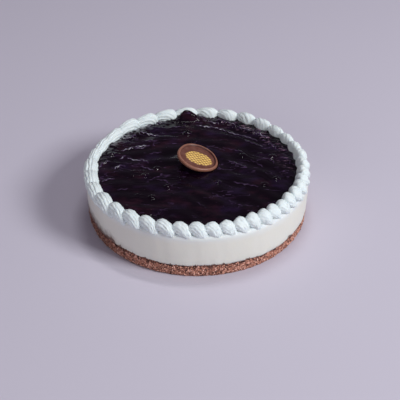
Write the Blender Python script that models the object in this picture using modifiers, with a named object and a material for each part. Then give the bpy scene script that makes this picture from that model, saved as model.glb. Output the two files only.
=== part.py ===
"""A round chilled cheesecake, 24 cm across and about 7 cm high.

A pressed crumb base carries a smooth set cheese layer. Dark fruit jam is spread on top, inside a
border of slanting whipped-cream shells piped with a star nozzle, and a chocolate medallion leans
on a heap of the jam near the middle. Metres, +Z up. The origin is the centre of the underside,
and the front of the cake faces -Y. Touching pieces keep a small clearance.
"""
import math
import random

import bmesh
import bpy
from mathutils import Vector, noise

# Clearance between touching pieces, and how near a point must be to count as on a surface
GAP = 0.0003
TOLERANCE = 0.0001

# Gain that spreads the smooth noise over about -1 to 1, and the crease that shades sharp
NOISE_GAIN = 1.6
SHARP_ANGLE = math.radians(50)

# Whole cake: a hand-made round, very slightly long on one axis
CAKE_RADIUS = 0.120
OUT_OF_ROUND = 0.006
LONG_AXIS = math.radians(16)
TURN_STEPS = 96

# Crumb base: pressed by hand, thicker on its left-front side
CRUMB_HEIGHT = 0.0138
CRUMB_INSET = 0.0010
CRUMB_LEAN = 0.0009
CRUMB_THICK_SIDE = math.radians(235)
CRUMB_ROWS = 4
CRUMB_RELIEF = 0.0006
CRUMB_GRAIN = 0.0060
SEAM_WAVE = 0.0011
SEAM_WAVE_LENGTH = 0.020
SEAM_BAND = 0.018
CRUMB_SEED = 1.7
SEAM_SEED = 3.1

# Cheese layer
CHEESE_TOP = 0.0515
CHEESE_EDGE = 0.0042
CHEESE_EDGE_STEPS = 2
CHEESE_BULGE = 0.0005

# Jam spread inside the border
JAM_LEVEL = 0.0542
JAM_RADIUS = 0.1100
JAM_RINGS = 9
JAM_STEPS = 72
JAM_STROKE = 0.0005
JAM_STROKE_SPACING = 0.021
JAM_LUMP = 0.0007
JAM_LUMP_SIZE = 0.017
JAM_WARP = 0.006
JAM_WARP_SIZE = 0.045
JAM_SIDE_BLEND = 0.03
STROKE_SEED = 5.3
LUMP_SEED = 8.9
JAM_HEAP_HEIGHT = 0.0084
JAM_HEAP_REACH = 0.0135
JAM_HEAP_SHIFT = 0.0083
JAM_CLIMB_ANGLE = math.radians(97.5)
JAM_CLIMB_WIDTH = 0.0115
JAM_CLIMB_HEIGHT = 0.0092
JAM_CLIMB_REACH = 0.0010
JAM_CLIMB_FOOT = 0.0955
JAM_CLIMB_TOP = 0.1065

# Cream border: shells laid one over the tail of the last, counter-clockwise from the seam.
# A shell piped across the border is short and wide, one piped along it is long and narrow.
SHELL_COUNT = 38
SEAM_ANGLE = math.radians(180)
PITCH_SWING = 0.305
PITCH_PEAK = math.radians(124)
PITCH_RIPPLE = 0.063
PITCH_RIPPLE_PEAK = math.radians(75)
MIDDLE_RADIUS = 0.1121
BORDER_OVAL = 0.032
BORDER_LONG_AXIS = math.radians(27)
BORDER_SHIFT = Vector((-0.0004, -0.0009, 0))
HALF_REACH = 0.0074
# Where the border is wider: angle, outward shift and extra half reach
WIDE_PLACES = ((math.radians(314), 0.0029, 0.0015), (math.radians(212), 0.0010, 0.0014))
WIDE_FALL = 6
WIDE_TAPER = 0.16
SHELL_SINK = 0.0013
SLANT_MIDDLE = math.radians(32)
SLANT_SWING = math.radians(28)
SLANT_PEAK = math.radians(-10)
LENGTH_ACROSS = 0.0162
LENGTH_ALONG = 0.0265
HALF_WIDTH_ACROSS = 0.0108
HALF_WIDTH_ALONG = 0.0072
HALF_HEIGHT = 0.0074
ROPE_ANGLE = math.radians(188)
ROPE_FALL = 8
COVER_SHELL = 1.36
COVER_ROPE = 1.9
SIZE_SWING = 0.07
SIZE_PEAK = math.radians(75)
TAPER_SHELL = 0.36
TAPER_ROPE = 0.20
SHELL_BLUNTNESS = 2.4
TAIL_DROOP = 0.28
END_SHELLS = 3
END_SHRINK = 0.09
STAR_TEETH = 7
STAR_DEPTH = 0.14
SHELL_SECTIONS = 5
SHELL_JITTER = 0.0006
SHELL_SEED = 7
RING_STEPS = 720

# Chocolate medallion, cast like a seal with a thick soft rim
MEDALLION_RADIUS = 0.0230
MEDALLION_THICKNESS = 0.0044
MEDALLION_RIM = 0.0034
MEDALLION_RECESS = 0.0012
MEDALLION_CENTRE = (-0.0005, 0.0082, 0.0607)
MEDALLION_TILT = (math.radians(2), math.radians(16.5), 0)
MEDALLION_STEPS = 36
RIM_STEPS = 5
RIM_FOOT = 0.75
RIM_ARC = math.radians(160)
MEDALLION_CHAMFER = 0.0012
RIM_UNEVEN = 0.022
PANEL_HALF_LENGTH = 0.0155
PANEL_HALF_WIDTH = 0.0112
PANEL_HEIGHT = 0.0005
PANEL_STEPS = 24
PANEL_DRAFT = 0.94
PANEL_TURN = math.radians(-8)
PANEL_OFFSET = (0.0012, -0.0022)
POCKET_DEPTH = 0.030


def plan_factor(angle):
    """Share by which the cake's outline grows or shrinks at an angle round it."""
    return 1 + OUT_OF_ROUND * math.cos(2 * (angle - LONG_AXIS))


def wave(position, size, seed=0.0):
    """Smooth noise between about -1 and 1 whose bumps are about the given size."""
    return noise.noise(Vector(position) / size + Vector((seed, seed * 0.7, seed * 1.3))) * NOISE_GAIN


def smooth_step(low, high, value):
    """0 below low, 1 above high, and an easy slope between."""
    share = min(1.0, max(0.0, (value - low) / (high - low)))
    return share * share * (3 - 2 * share)


def seam_height(radius, angle):
    """Height where crumb and cheese meet: level inside, uneven towards the wall."""
    rim = (CAKE_RADIUS * math.cos(angle), CAKE_RADIUS * math.sin(angle), 0)
    lean = CRUMB_LEAN * math.cos(angle - CRUMB_THICK_SIDE)
    uneven = lean + SEAM_WAVE * wave(rim, SEAM_WAVE_LENGTH, SEAM_SEED)
    near_wall = max(0.0, 1 - (CAKE_RADIUS - radius) / SEAM_BAND)
    return CRUMB_HEIGHT + uneven * near_wall


def new_collection(name):
    collection = bpy.data.collections.new(name)
    bpy.context.scene.collection.children.link(collection)
    return collection


def add_object(name, data, collection):
    obj = bpy.data.objects.new(name, data)
    collection.objects.link(obj)
    return obj


def bake(obj):
    """Puts an object's evaluated mesh in place of its own and clears its modifiers."""
    graph = bpy.context.evaluated_depsgraph_get()
    finished = bpy.data.meshes.new_from_object(obj.evaluated_get(graph))
    plain = obj.data
    obj.modifiers.clear()
    obj.data = finished
    bpy.data.meshes.remove(plain)


def turned(name, profile, steps, collection, closed=False):
    """Turns a profile of (radius, height) points about Z, from the top down its outer side."""
    mesh = bpy.data.meshes.new(name)
    points = [(radius, 0, height) for radius, height in profile]
    edges = [(i, i + 1) for i in range(len(points) - 1)]
    if closed:
        edges.append((len(points) - 1, 0))
    mesh.from_pydata(points, edges, [])
    obj = add_object(name, mesh, collection)
    screw = obj.modifiers.new("Turn", "SCREW")
    screw.axis = "Z"
    screw.steps = steps
    screw.render_steps = steps
    screw.use_merge_vertices = True
    screw.merge_threshold = 0.00001
    bake(obj)
    split_quads(obj.data)
    return obj


def split_quads(mesh):
    """Splits each quad from its inner or lower corner that comes first, so facing surfaces match."""
    shape = bmesh.new()
    shape.from_mesh(mesh)
    bmesh.ops.recalc_face_normals(shape, faces=shape.faces)
    for face in [face for face in shape.faces if len(face.verts) == 4]:
        corners = list(face.verts)
        inner = sorted(corners, key=lambda vert: (round(math.hypot(vert.co.x, vert.co.y), 5), vert.co.z))
        first = inner[0] if inner[0].co.cross(inner[1].co).z > 0 else inner[1]
        opposite = corners[(corners.index(first) + 2) % 4]
        bmesh.utils.face_split(face, first, opposite)
    shape.to_mesh(mesh)
    shape.free()


def reshape(obj, move):
    """Moves each point by a function of its radius, angle and height."""
    for vertex in obj.data.vertices:
        radius = math.hypot(vertex.co.x, vertex.co.y)
        angle = math.atan2(vertex.co.y, vertex.co.x)
        vertex.co = move(radius, angle, vertex.co.z)


def polar(radius, angle, height):
    return Vector((radius * math.cos(angle), radius * math.sin(angle), height))


def finish(obj, colour, roughness, metallic=0.0):
    """Gives a piece its own material and smooth shading."""
    material = bpy.data.materials.new(obj.name)
    material.use_nodes = True
    shader = material.node_tree.nodes["Principled BSDF"]
    shader.inputs["Base Color"].default_value = (*colour, 1)
    shader.inputs["Roughness"].default_value = roughness
    shader.inputs["Metallic"].default_value = metallic
    obj.data.materials.clear()
    obj.data.materials.append(material)
    obj.data.shade_smooth()
    obj.data.set_sharp_from_angle(angle=SHARP_ANGLE)


def boolean(obj, name, operation, target):
    """Adds a Boolean with one object or with a whole collection."""
    modifier = obj.modifiers.new(name, "BOOLEAN")
    modifier.operation = operation
    modifier.solver = "EXACT"
    if isinstance(target, bpy.types.Collection):
        modifier.operand_type = "COLLECTION"
        modifier.collection = target
    else:
        modifier.object = target


def clear_collection(collection):
    for obj in list(collection.objects):
        bpy.data.objects.remove(obj, do_unlink=True)
    bpy.data.collections.remove(collection)


def make_crumb_base(collection):
    """Disc of pressed crumbs with a rough side and an uneven top edge."""
    rim = CAKE_RADIUS - CRUMB_INSET
    inner = CAKE_RADIUS - SEAM_BAND
    side = [(rim, CRUMB_HEIGHT * (1 - row / CRUMB_ROWS)) for row in range(CRUMB_ROWS + 1)]
    profile = [(0, CRUMB_HEIGHT), (inner, CRUMB_HEIGHT), *side, (0, 0)]

    def roughen(radius, angle, height):
        if radius < rim - TOLERANCE:
            return polar(radius, angle, height)
        crumbs = CRUMB_RELIEF * wave(polar(rim, angle, height), CRUMB_GRAIN, CRUMB_SEED)
        radius += min(crumbs, CRUMB_INSET)
        raised = height * seam_height(radius, angle) / CRUMB_HEIGHT
        return polar(radius * plan_factor(angle), angle, raised)

    base = turned("crumb_base", profile, TURN_STEPS, collection)
    reshape(base, roughen)
    finish(base, (0.28, 0.13, 0.075), 0.9)
    return base


def cheese_body(name, grow, collection):
    """Cheese disc with a softly rounded top edge, grown by a margin where it is a cutter."""
    rim = CAKE_RADIUS + grow
    top = CHEESE_TOP + grow
    inner = CAKE_RADIUS - SEAM_BAND
    floor = CRUMB_HEIGHT + GAP
    corner = []
    for step in range(CHEESE_EDGE_STEPS + 1):
        turn = math.radians(90) * (1 - step / CHEESE_EDGE_STEPS)
        corner.append((rim - CHEESE_EDGE + CHEESE_EDGE * math.cos(turn),
                       top - CHEESE_EDGE + CHEESE_EDGE * math.sin(turn)))
    middle = (floor + top) / 2
    profile = [(0, top), *corner, (rim, middle), (rim, floor), (inner, floor), (0, floor)]

    def soften(radius, angle, height):
        if radius > inner + TOLERANCE and height < middle - TOLERANCE:
            height = seam_height(radius, angle) + GAP
        elif abs(height - middle) < TOLERANCE:
            radius += CHEESE_BULGE
        if radius > inner + TOLERANCE:
            radius *= plan_factor(angle)
        return polar(radius, angle, height)

    body = turned(name, profile, TURN_STEPS, collection)
    reshape(body, soften)
    return body


def make_cheese_layer(collection):
    layer = cheese_body("cheese_layer", 0, collection)
    finish(layer, (0.66, 0.62, 0.55), 0.42)
    return layer


def stroke_height(x, y):
    """Ridges left by the spatula: level strokes on the left, slanting ones on the right."""
    lean = 0.5 + 0.5 * math.tanh(x / JAM_SIDE_BLEND)
    across = y * (1 - 0.25 * lean) + x * 0.55 * lean
    warp = JAM_WARP * wave((x, y, 0), JAM_WARP_SIZE, STROKE_SEED)
    return JAM_STROKE * math.sin(math.tau * (across + warp) / JAM_STROKE_SPACING)


def jam_surface(radius, angle):
    """Height of the jam at a point: strokes, fruit under the surface and two heaps."""
    x = radius * math.cos(angle)
    y = radius * math.sin(angle)
    lumps = JAM_LUMP * wave((x, y, 0), JAM_LUMP_SIZE, LUMP_SEED)
    heap_x = x - MEDALLION_CENTRE[0] + JAM_HEAP_SHIFT
    heap_y = y - MEDALLION_CENTRE[1]
    heap = JAM_HEAP_HEIGHT * math.exp(-(heap_x ** 2 + heap_y ** 2) / JAM_HEAP_REACH ** 2)
    climb = JAM_CLIMB_HEIGHT * climb_share(angle) * smooth_step(JAM_CLIMB_FOOT, JAM_CLIMB_TOP, radius)
    return JAM_LEVEL + stroke_height(x, y) + lumps + heap + climb


def climb_share(angle):
    """How strongly the jam is smeared up the cream, at its most at one place at the back."""
    away = math.remainder(angle - JAM_CLIMB_ANGLE, math.tau) * JAM_RADIUS
    return math.exp(-(away / JAM_CLIMB_WIDTH) ** 4)


def jam_body(name, grow, floor, collection):
    """Jam disc, grown by a margin where it is a cutter."""
    edge = JAM_RADIUS + grow
    top = [(edge * ring / JAM_RINGS, JAM_LEVEL) for ring in range(JAM_RINGS + 1)]

    def spread(radius, angle, height):
        wide = radius * (1 + (plan_factor(angle) - 1) * radius / edge)
        if radius > edge - TOLERANCE:
            wide += JAM_CLIMB_REACH * climb_share(angle)
        if height > (JAM_LEVEL + floor) / 2:
            height = jam_surface(radius, angle) + grow
        return polar(wide, angle, height)

    body = turned(name, [*top, (edge, floor), (0, floor)], JAM_STEPS, collection)
    reshape(body, spread)
    return body


def make_jam_topping(collection, cutters):
    jam = jam_body("jam_topping", 0, CHEESE_TOP + GAP, collection)
    pocket_radius = MEDALLION_RADIUS * (1 + RIM_UNEVEN) / math.cos(math.pi / MEDALLION_STEPS) + GAP
    shape = bmesh.new()
    bmesh.ops.create_cone(shape, cap_ends=True, segments=MEDALLION_STEPS, radius1=pocket_radius,
                          radius2=pocket_radius, depth=POCKET_DEPTH)
    lift = POCKET_DEPTH / 2 - MEDALLION_THICKNESS / 2 - GAP
    bmesh.ops.translate(shape, verts=shape.verts, vec=(0, 0, lift))
    mesh = bpy.data.meshes.new("medallion_pocket")
    shape.to_mesh(mesh)
    shape.free()
    pocket = add_object("medallion_pocket", mesh, cutters)
    pocket.location = MEDALLION_CENTRE
    pocket.rotation_euler = MEDALLION_TILT
    bpy.context.view_layer.update()
    boolean(jam, "Medallion pocket", "DIFFERENCE", pocket)
    bake(jam)
    finish(jam, (0.012, 0.005, 0.014), 0.12)
    return jam


def pitch_factor(angle):
    """How far apart the shells are at an angle: close at the right front, wide at the back left."""
    return (1 + PITCH_SWING * math.cos(angle - PITCH_PEAK)
            + PITCH_RIPPLE * math.cos(2 * (angle - PITCH_RIPPLE_PEAK)))


def shell_places():
    """Angle and pitch of each shell, from the seam round."""
    shares = [0.0]
    for step in range(RING_STEPS):
        angle = SEAM_ANGLE + math.tau * (step + 0.5) / RING_STEPS
        shares.append(shares[-1] + 1 / pitch_factor(angle))
    places = []
    step = 0
    for number in range(SHELL_COUNT):
        wanted = shares[-1] * (number + 0.5) / SHELL_COUNT
        while shares[step + 1] < wanted:
            step += 1
        density = shares[step + 1] - shares[step]
        angle = SEAM_ANGLE + math.tau * (step + (wanted - shares[step]) / density) / RING_STEPS
        pitch = math.tau / RING_STEPS * shares[-1] / SHELL_COUNT / density * MIDDLE_RADIUS
        places.append((angle, pitch))
    return places


def rope_share(angle):
    """1 at the left, where the shells run into one rope, and 0 where they stand apart."""
    return (0.5 + 0.5 * math.cos(angle - ROPE_ANGLE)) ** ROPE_FALL


def bulb(share, taper):
    """Thickness along a shell: blunt at both ends, and slimmer towards the tail."""
    outline = (1 - abs(2 * share - 1) ** SHELL_BLUNTNESS) ** (1 / SHELL_BLUNTNESS)
    return outline * (1 - taper * share)


def shell_measures(number, angle, pitch, draw):
    """Foot point, the three directions at their lengths, the roll, the taper and the fullest place."""
    slant = SLANT_MIDDLE + SLANT_SWING * math.cos(angle - SLANT_PEAK) + math.radians(draw.uniform(-5, 5))
    size = 1 + SIZE_SWING * math.cos(angle - SIZE_PEAK) + draw.uniform(-0.04, 0.04)
    to_end = SHELL_COUNT - 1 - number
    size *= 1 - END_SHRINK * max(0, END_SHELLS - to_end)
    across = math.sin(slant) ** 2
    length = size * (LENGTH_ALONG + (LENGTH_ACROSS - LENGTH_ALONG) * across)
    half_width = size * (HALF_WIDTH_ALONG + (HALF_WIDTH_ACROSS - HALF_WIDTH_ALONG) * across)
    half_height = size * HALF_HEIGHT + draw.uniform(-1, 1) * SHELL_JITTER / 2
    outward = Vector((math.cos(angle), math.sin(angle), 0))
    tangent = Vector((-math.sin(angle), math.cos(angle), 0))
    middle = MIDDLE_RADIUS * (1 + BORDER_OVAL * math.cos(2 * (angle - BORDER_LONG_AXIS)))
    middle += BORDER_SHIFT.dot(outward) + draw.uniform(-1, 1) * SHELL_JITTER
    roll = draw.uniform(0, math.tau / STAR_TEETH)
    rope = rope_share(angle)
    taper = TAPER_SHELL + (TAPER_ROPE - TAPER_SHELL) * rope
    reach = HALF_REACH
    for place, shift, extra in WIDE_PLACES:
        wide = (0.5 + 0.5 * math.cos(angle - place)) ** WIDE_FALL
        middle += shift * wide
        reach += extra * wide
        taper -= WIDE_TAPER * wide * (1 - rope)
    cover = COVER_SHELL + (COVER_ROPE - COVER_SHELL) * rope
    shares = [step / RING_STEPS for step in range(RING_STEPS)]
    fullest = max(bulb(share, taper) for share in shares)
    along = tangent * math.cos(slant) + outward * math.sin(slant)
    aside = Vector((-along.y, along.x, 0))
    run, spread = Vector(), Vector()
    for direction, wanted in ((tangent, pitch * cover / 2), (outward, size * reach)):
        ahead, beside = length * along.dot(direction), half_width * aside.dot(direction)
        plain = max(abs(ahead * (share - 0.5)) + abs(beside) * bulb(share, taper) / fullest
                    for share in shares)
        run += direction * ahead * wanted / plain
        spread += direction * beside * wanted / plain
    foot = Vector((0, 0, CHEESE_TOP - SHELL_SINK)) + outward * middle
    return foot, (run, spread, Vector((0, 0, half_height))), roll, taper, fullest


def add_shell(number, angle, pitch, draw, collection):
    """One piped shell, lying on its underside with its head inside and its tail outside."""
    foot, (run, spread, lift), roll, taper, fullest = shell_measures(number, angle, pitch, draw)
    shape = bmesh.new()
    bmesh.ops.create_uvsphere(shape, u_segments=2 * STAR_TEETH, v_segments=SHELL_SECTIONS, radius=1)
    for vert in shape.verts:
        share = (1 - vert.co.z) / 2
        turn = math.atan2(vert.co.y, vert.co.x)
        groove = STAR_DEPTH * (0.5 - 0.5 * math.cos(STAR_TEETH * turn))
        thick = bulb(share, taper) / fullest
        rim = thick * (1 - groove)
        up = thick + rim * math.sin(turn + roll) - TAIL_DROOP * share ** 2
        vert.co = foot + run * (share - 0.5) + spread * rim * math.cos(turn + roll) + lift * up
    bmesh.ops.recalc_face_normals(shape, faces=shape.faces)
    mesh = bpy.data.meshes.new(f"shell_{number:02d}")
    shape.to_mesh(mesh)
    shape.free()
    return add_object(mesh.name, mesh, collection)


def make_cream_border(collection, cutters):
    """Ring of fused shells, cut to sit on the cheese and against the jam."""
    shells = new_collection("piped_shells")
    draw = random.Random(SHELL_SEED)
    places = shell_places()
    border = add_shell(0, *places[0], draw, collection)
    border.name = "cream_border"
    for number in range(1, SHELL_COUNT):
        add_shell(number, *places[number], draw, shells)
    boolean(border, "Fuse shells", "UNION", shells)
    bake(border)
    clear_collection(shells)

    cheese_space = cheese_body("cheese_space", GAP, cutters)
    jam_space = jam_body("jam_space", GAP, CHEESE_TOP - CHEESE_EDGE, cutters)
    boolean(border, "Sit on cheese", "DIFFERENCE", cheese_space)
    boolean(border, "Meet jam", "DIFFERENCE", jam_space)
    bake(border)
    finish(border, (0.80, 0.84, 0.85), 0.5)
    return border


def make_medallion(collection):
    """Cast chocolate disc with a thick rounded rim, a recessed face and a low oval panel."""
    half = MEDALLION_THICKNESS / 2
    face = half - MEDALLION_RECESS
    rim_middle = MEDALLION_RADIUS - MEDALLION_RIM / 2
    profile = [(0, face), (rim_middle - MEDALLION_RIM * RIM_FOOT, face)]
    for step in range(RIM_STEPS + 1):
        turn = RIM_ARC * (1 - step / RIM_STEPS)
        profile.append((rim_middle + MEDALLION_RIM / 2 * math.cos(turn), half * math.sin(turn)))
    profile.append((MEDALLION_RADIUS - MEDALLION_CHAMFER / 4, MEDALLION_CHAMFER - half))
    profile.append((MEDALLION_RADIUS - MEDALLION_CHAMFER, -half))
    profile.append((0, -half))
    medallion = turned("chocolate_medallion", profile, MEDALLION_STEPS, collection)

    def uneven(radius, angle, height):
        swell = 0.6 * math.cos(3 * angle + 1.0) + 0.4 * math.cos(5 * angle + 2.2)
        return polar(radius * (1 + RIM_UNEVEN * swell * radius / MEDALLION_RADIUS), angle, height)

    reshape(medallion, uneven)
    shape = bmesh.new()
    bmesh.ops.create_cone(shape, cap_ends=True, segments=PANEL_STEPS, radius1=1,
                          radius2=PANEL_DRAFT, depth=1)
    bmesh.ops.scale(shape, verts=shape.verts,
                    vec=(PANEL_HALF_LENGTH, PANEL_HALF_WIDTH, 2 * PANEL_HEIGHT))
    mesh = bpy.data.meshes.new("panel")
    shape.to_mesh(mesh)
    shape.free()
    panels = new_collection("medallion_relief")
    panel = add_object("panel", mesh, panels)
    panel.location = (*PANEL_OFFSET, face)
    panel.rotation_euler.z = PANEL_TURN
    bpy.context.view_layer.update()
    boolean(medallion, "Raised panel", "UNION", panels)
    bake(medallion)
    clear_collection(panels)
    medallion.location = MEDALLION_CENTRE
    medallion.rotation_euler = MEDALLION_TILT
    finish(medallion, (0.24, 0.085, 0.05), 0.4)
    return medallion


def main():
    for obj in list(bpy.data.objects):
        bpy.data.objects.remove(obj, do_unlink=True)
    cake = new_collection("cheesecake")
    cutters = new_collection("cutters")
    make_crumb_base(cake)
    make_cheese_layer(cake)
    make_jam_topping(cake, cutters)
    make_cream_border(cake, cutters)
    make_medallion(cake)
    for cutter in cutters.objects:
        cutter.hide_render = True
        cutter.display_type = "WIRE"


main()
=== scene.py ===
"""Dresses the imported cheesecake: crumb base, cheese layer, jam, piped cream and medallion."""
import math
import random
from functools import partial

import bpy
import numpy as np
from bpy.props import FloatProperty, FloatVectorProperty, IntProperty, PointerProperty
from mathutils import Euler, Matrix, Vector, noise


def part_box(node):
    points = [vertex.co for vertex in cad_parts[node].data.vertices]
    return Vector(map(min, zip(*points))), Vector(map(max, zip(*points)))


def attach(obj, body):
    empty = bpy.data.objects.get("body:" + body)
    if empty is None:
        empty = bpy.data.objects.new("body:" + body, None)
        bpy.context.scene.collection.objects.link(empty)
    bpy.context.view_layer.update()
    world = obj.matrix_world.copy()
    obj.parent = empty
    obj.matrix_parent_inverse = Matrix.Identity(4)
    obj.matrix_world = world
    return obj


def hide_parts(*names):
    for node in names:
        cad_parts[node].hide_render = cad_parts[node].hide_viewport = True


bl_info = {
    "name": "Chilled Cheesecake",
    "version": (1, 0, 0),
    "blender": (4, 5, 0),
    "location": "View3D > Sidebar > Cheesecake",
    "description": "Finishes a round cheesecake with jam, piped cream and a chocolate medallion",
    "category": "Object",
}

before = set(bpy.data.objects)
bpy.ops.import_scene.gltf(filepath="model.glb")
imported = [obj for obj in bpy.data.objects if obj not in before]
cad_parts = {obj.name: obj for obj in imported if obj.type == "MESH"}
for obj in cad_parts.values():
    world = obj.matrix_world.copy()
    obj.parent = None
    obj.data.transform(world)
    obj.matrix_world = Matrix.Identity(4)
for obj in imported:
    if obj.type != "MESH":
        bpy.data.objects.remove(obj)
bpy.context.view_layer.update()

# Whole cake: a hand-made round, very slightly long on one axis
CAKE_RADIUS = 0.120
OUT_OF_ROUND = 0.006
LONG_AXIS = math.radians(16)
# Gap left between pieces that rest on each other
GAP = 0.0003
NOISE_GAIN = 1.6

# Crumb base and its uneven seam with the cheese
CRUMB_HEIGHT = 0.0138
CRUMB_INSET = 0.0010
CRUMB_LEAN = 0.0009
CRUMB_THICK_SIDE = math.radians(235)
SEAM_WAVE = 0.0011
SEAM_WAVE_LENGTH = 0.020
SEAM_BAND = 0.018
SEAM_SEED = 3.1

# Cheese layer
CHEESE_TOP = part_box("cheese_layer")[1].z
CHEESE_EDGE = 0.0042
CHEESE_BULGE = 0.0005

# Jam spread inside the border
JAM_LEVEL = 0.0542
JAM_RADIUS = 0.1100
JAM_STROKE = 0.00035
JAM_STROKE_SPACING = 0.021
JAM_LUMP = 0.00035
JAM_LUMP_SIZE = 0.017
JAM_WARP = 0.006
JAM_WARP_SIZE = 0.045
JAM_SIDE_BLEND = 0.03
# How far the strokes turn at the right: shares of x and y that go over into each other's course
STROKE_ACROSS = (0.55, 0.25)
STROKE_ALONG = (0.15, 0.5)
STROKE_SEED = 5.3
LUMP_SEED = 8.9
JAM_HEAP_HEIGHT = 0.0084
JAM_HEAP_REACH = 0.0135
JAM_HEAP_SHIFT = 0.0083
JAM_CLIMB_ANGLE = math.radians(97.5)
JAM_CLIMB_WIDTH = 0.0108
JAM_CLIMB_HEIGHT = 0.0092
JAM_CLIMB_REACH = 0.0010
JAM_CLIMB_FOOT = 0.0925
JAM_CLIMB_TOP = 0.1040
JAM_CLIMB_BLUNTNESS = 2.6

# Cream border: shells laid one over the tail of the last, counter-clockwise from the seam
SHELL_COUNT = 38
SEAM_ANGLE = math.radians(180)
PITCH_SWING = 0.305
PITCH_PEAK = math.radians(124)
PITCH_RIPPLE = 0.063
PITCH_RIPPLE_PEAK = math.radians(75)
MIDDLE_RADIUS = 0.1121
BORDER_OVAL = 0.032
BORDER_LONG_AXIS = math.radians(27)
BORDER_SHIFT = Vector((-0.0004, -0.0009, 0))
HALF_REACH = 0.0074
# Where the border is wider: angle, outward shift and extra half reach
WIDE_PLACES = ((math.radians(314), 0.0029, 0.0015), (math.radians(212), 0.0010, 0.0014))
WIDE_FALL = 6
WIDE_TAPER = 0.16
SHELL_SINK = 0.0013
SLANT_MIDDLE = math.radians(32)
SLANT_SWING = math.radians(28)
SLANT_PEAK = math.radians(-10)
LENGTH_ACROSS = 0.0162
LENGTH_ALONG = 0.0265
HALF_WIDTH_ACROSS = 0.0108
HALF_WIDTH_ALONG = 0.0072
HALF_HEIGHT = 0.0074
ROPE_ANGLE = math.radians(188)
ROPE_FALL = 8
COVER_SHELL = 1.36
COVER_ROPE = 1.9
SIZE_SWING = 0.07
SIZE_PEAK = math.radians(75)
TAPER_SHELL = 0.36
TAPER_ROPE = 0.20
SHELL_BLUNTNESS = 2.4
TAIL_DROOP = 0.28
CREST_DENSITY = 0.4
SHELL_CURL = math.radians(70)
TAIL_CURL = math.radians(48)
END_SHELLS = 3
END_SHRINK = 0.09
STAR_TEETH = 7
SHELL_JITTER = 0.0006
SLANT_JITTER = 5
SIZE_JITTER = 0.04
SHELL_SEED = 7
RING_STEPS = 720

# Chocolate medallion
MEDALLION_RADIUS = 0.0230
MEDALLION_THICKNESS = 0.0044
MEDALLION_RIM = 0.0034
MEDALLION_RECESS = 0.0012
MEDALLION_CENTRE = Vector((-0.0005, 0.0082, 0.0607))
MEDALLION_TILT = Euler((math.radians(2), math.radians(16.5), 0))
RIM_UNEVEN = 0.022
PANEL_HALF_LENGTH = 0.0155
PANEL_HALF_WIDTH = 0.0112
PANEL_HEIGHT = 0.0005
PANEL_TURN = math.radians(-8)
PANEL_OFFSET = (0.0012, -0.0022)

# Camera of the photograph
LENS = 80.08
SENSOR = 36.0
DISTANCE = 1.0
ELEVATION = math.radians(36.5)
ROLL = math.radians(-1.0)
AIM_RIGHT = -0.0032
AIM_UP = -0.0076


def plan_factor(angle):
    """How far the wall stands out at an angle, as a share of the radius."""
    return 1 + OUT_OF_ROUND * math.cos(2 * (angle - LONG_AXIS))


def wave(position, size, seed=0.0):
    """Smooth noise between about -1 and 1 whose bumps are about the given size."""
    return noise.noise(Vector(position) / size + Vector((seed, seed * 0.7, seed * 1.3))) * NOISE_GAIN


def smooth_step(low, high, value):
    """0 below low, 1 above high, and an easy slope between."""
    share = min(1.0, max(0.0, (value - low) / (high - low)))
    return share * share * (3 - 2 * share)


def turn_from(place, angle):
    """Turn from a place round the cake to an angle, at most half a turn either way."""
    return math.remainder(angle - place, math.tau)


def facing(place, angle):
    """1 at a place round the cake, and 0 opposite it."""
    return 0.5 + 0.5 * math.cos(angle - place)


def seam_height(radius, angle):
    """Height where crumb and cheese meet: level inside, uneven towards the wall."""
    rim = (CAKE_RADIUS * math.cos(angle), CAKE_RADIUS * math.sin(angle), 0)
    lean = CRUMB_LEAN * math.cos(angle - CRUMB_THICK_SIDE)
    uneven = lean + SEAM_WAVE * wave(rim, SEAM_WAVE_LENGTH, SEAM_SEED)
    near_wall = max(0.0, 1 - (CAKE_RADIUS - radius) / SEAM_BAND)
    return CRUMB_HEIGHT + uneven * near_wall


def polar(radius, angle, height):
    """A point from its distance out, its angle and its height."""
    return (radius * math.cos(angle), radius * math.sin(angle), height)


def linked_object(name, data):
    """A new object that holds the data, in the scene."""
    obj = bpy.data.objects.new(name, data)
    bpy.context.scene.collection.objects.link(obj)
    return obj


def mesh_object(name, points, faces):
    """A new smooth-shaded mesh, in the scene."""
    mesh = bpy.data.meshes.new(name)
    mesh.from_pydata(points, [], faces)
    mesh.shade_smooth()
    return linked_object(name, mesh)


def ring_skin(name, top, rings, bottom):
    """A closed skin from a top point, down through rings of equal length, to a bottom point."""
    steps = len(rings[0])
    points = [top]
    for ring in rings:
        points.extend(ring)
    points.append(bottom)
    last = len(points) - 1
    faces = []
    for step in range(steps):
        after = (step + 1) % steps
        faces.append((0, 1 + step, 1 + after))
        for row in range(len(rings) - 1):
            inner = 1 + row * steps
            outer = inner + steps
            faces.append((inner + step, outer + step, outer + after, inner + after))
        foot = last - steps
        faces.append((foot + step, last, foot + after))
    return mesh_object(name, points, faces)


def store_values(obj, name, values):
    """Keeps one number a point on the mesh, for a material or a node tree to read."""
    attribute = obj.data.attributes.new(name, "FLOAT", "POINT")
    attribute.data.foreach_set("value", np.asarray(values, np.float32))


def store_vectors(obj, name, values):
    """Keeps one vector a point on the mesh, for a node tree to read."""
    attribute = obj.data.attributes.new(name, "FLOAT_VECTOR", "POINT")
    attribute.data.foreach_set("vector", np.array(values, np.float32).ravel())


def dress(obj, material, node):
    """Gives a finished piece its material and lets it stand for its node of the frame."""
    obj.data.materials.clear()
    obj.data.materials.append(material)
    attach(obj, "root")
    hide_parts(node)


def add(tree, kind, inputs=None, **settings):
    """Adds a node, sets its options, and fills its inputs with values or other nodes' outputs."""
    made = tree.nodes.new(kind)
    for name, value in settings.items():
        setattr(made, name, value)
    for key, value in (inputs or {}).items():
        if isinstance(value, bpy.types.NodeSocket):
            tree.links.new(value, made.inputs[key])
        else:
            made.inputs[key].default_value = value
    return made


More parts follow.
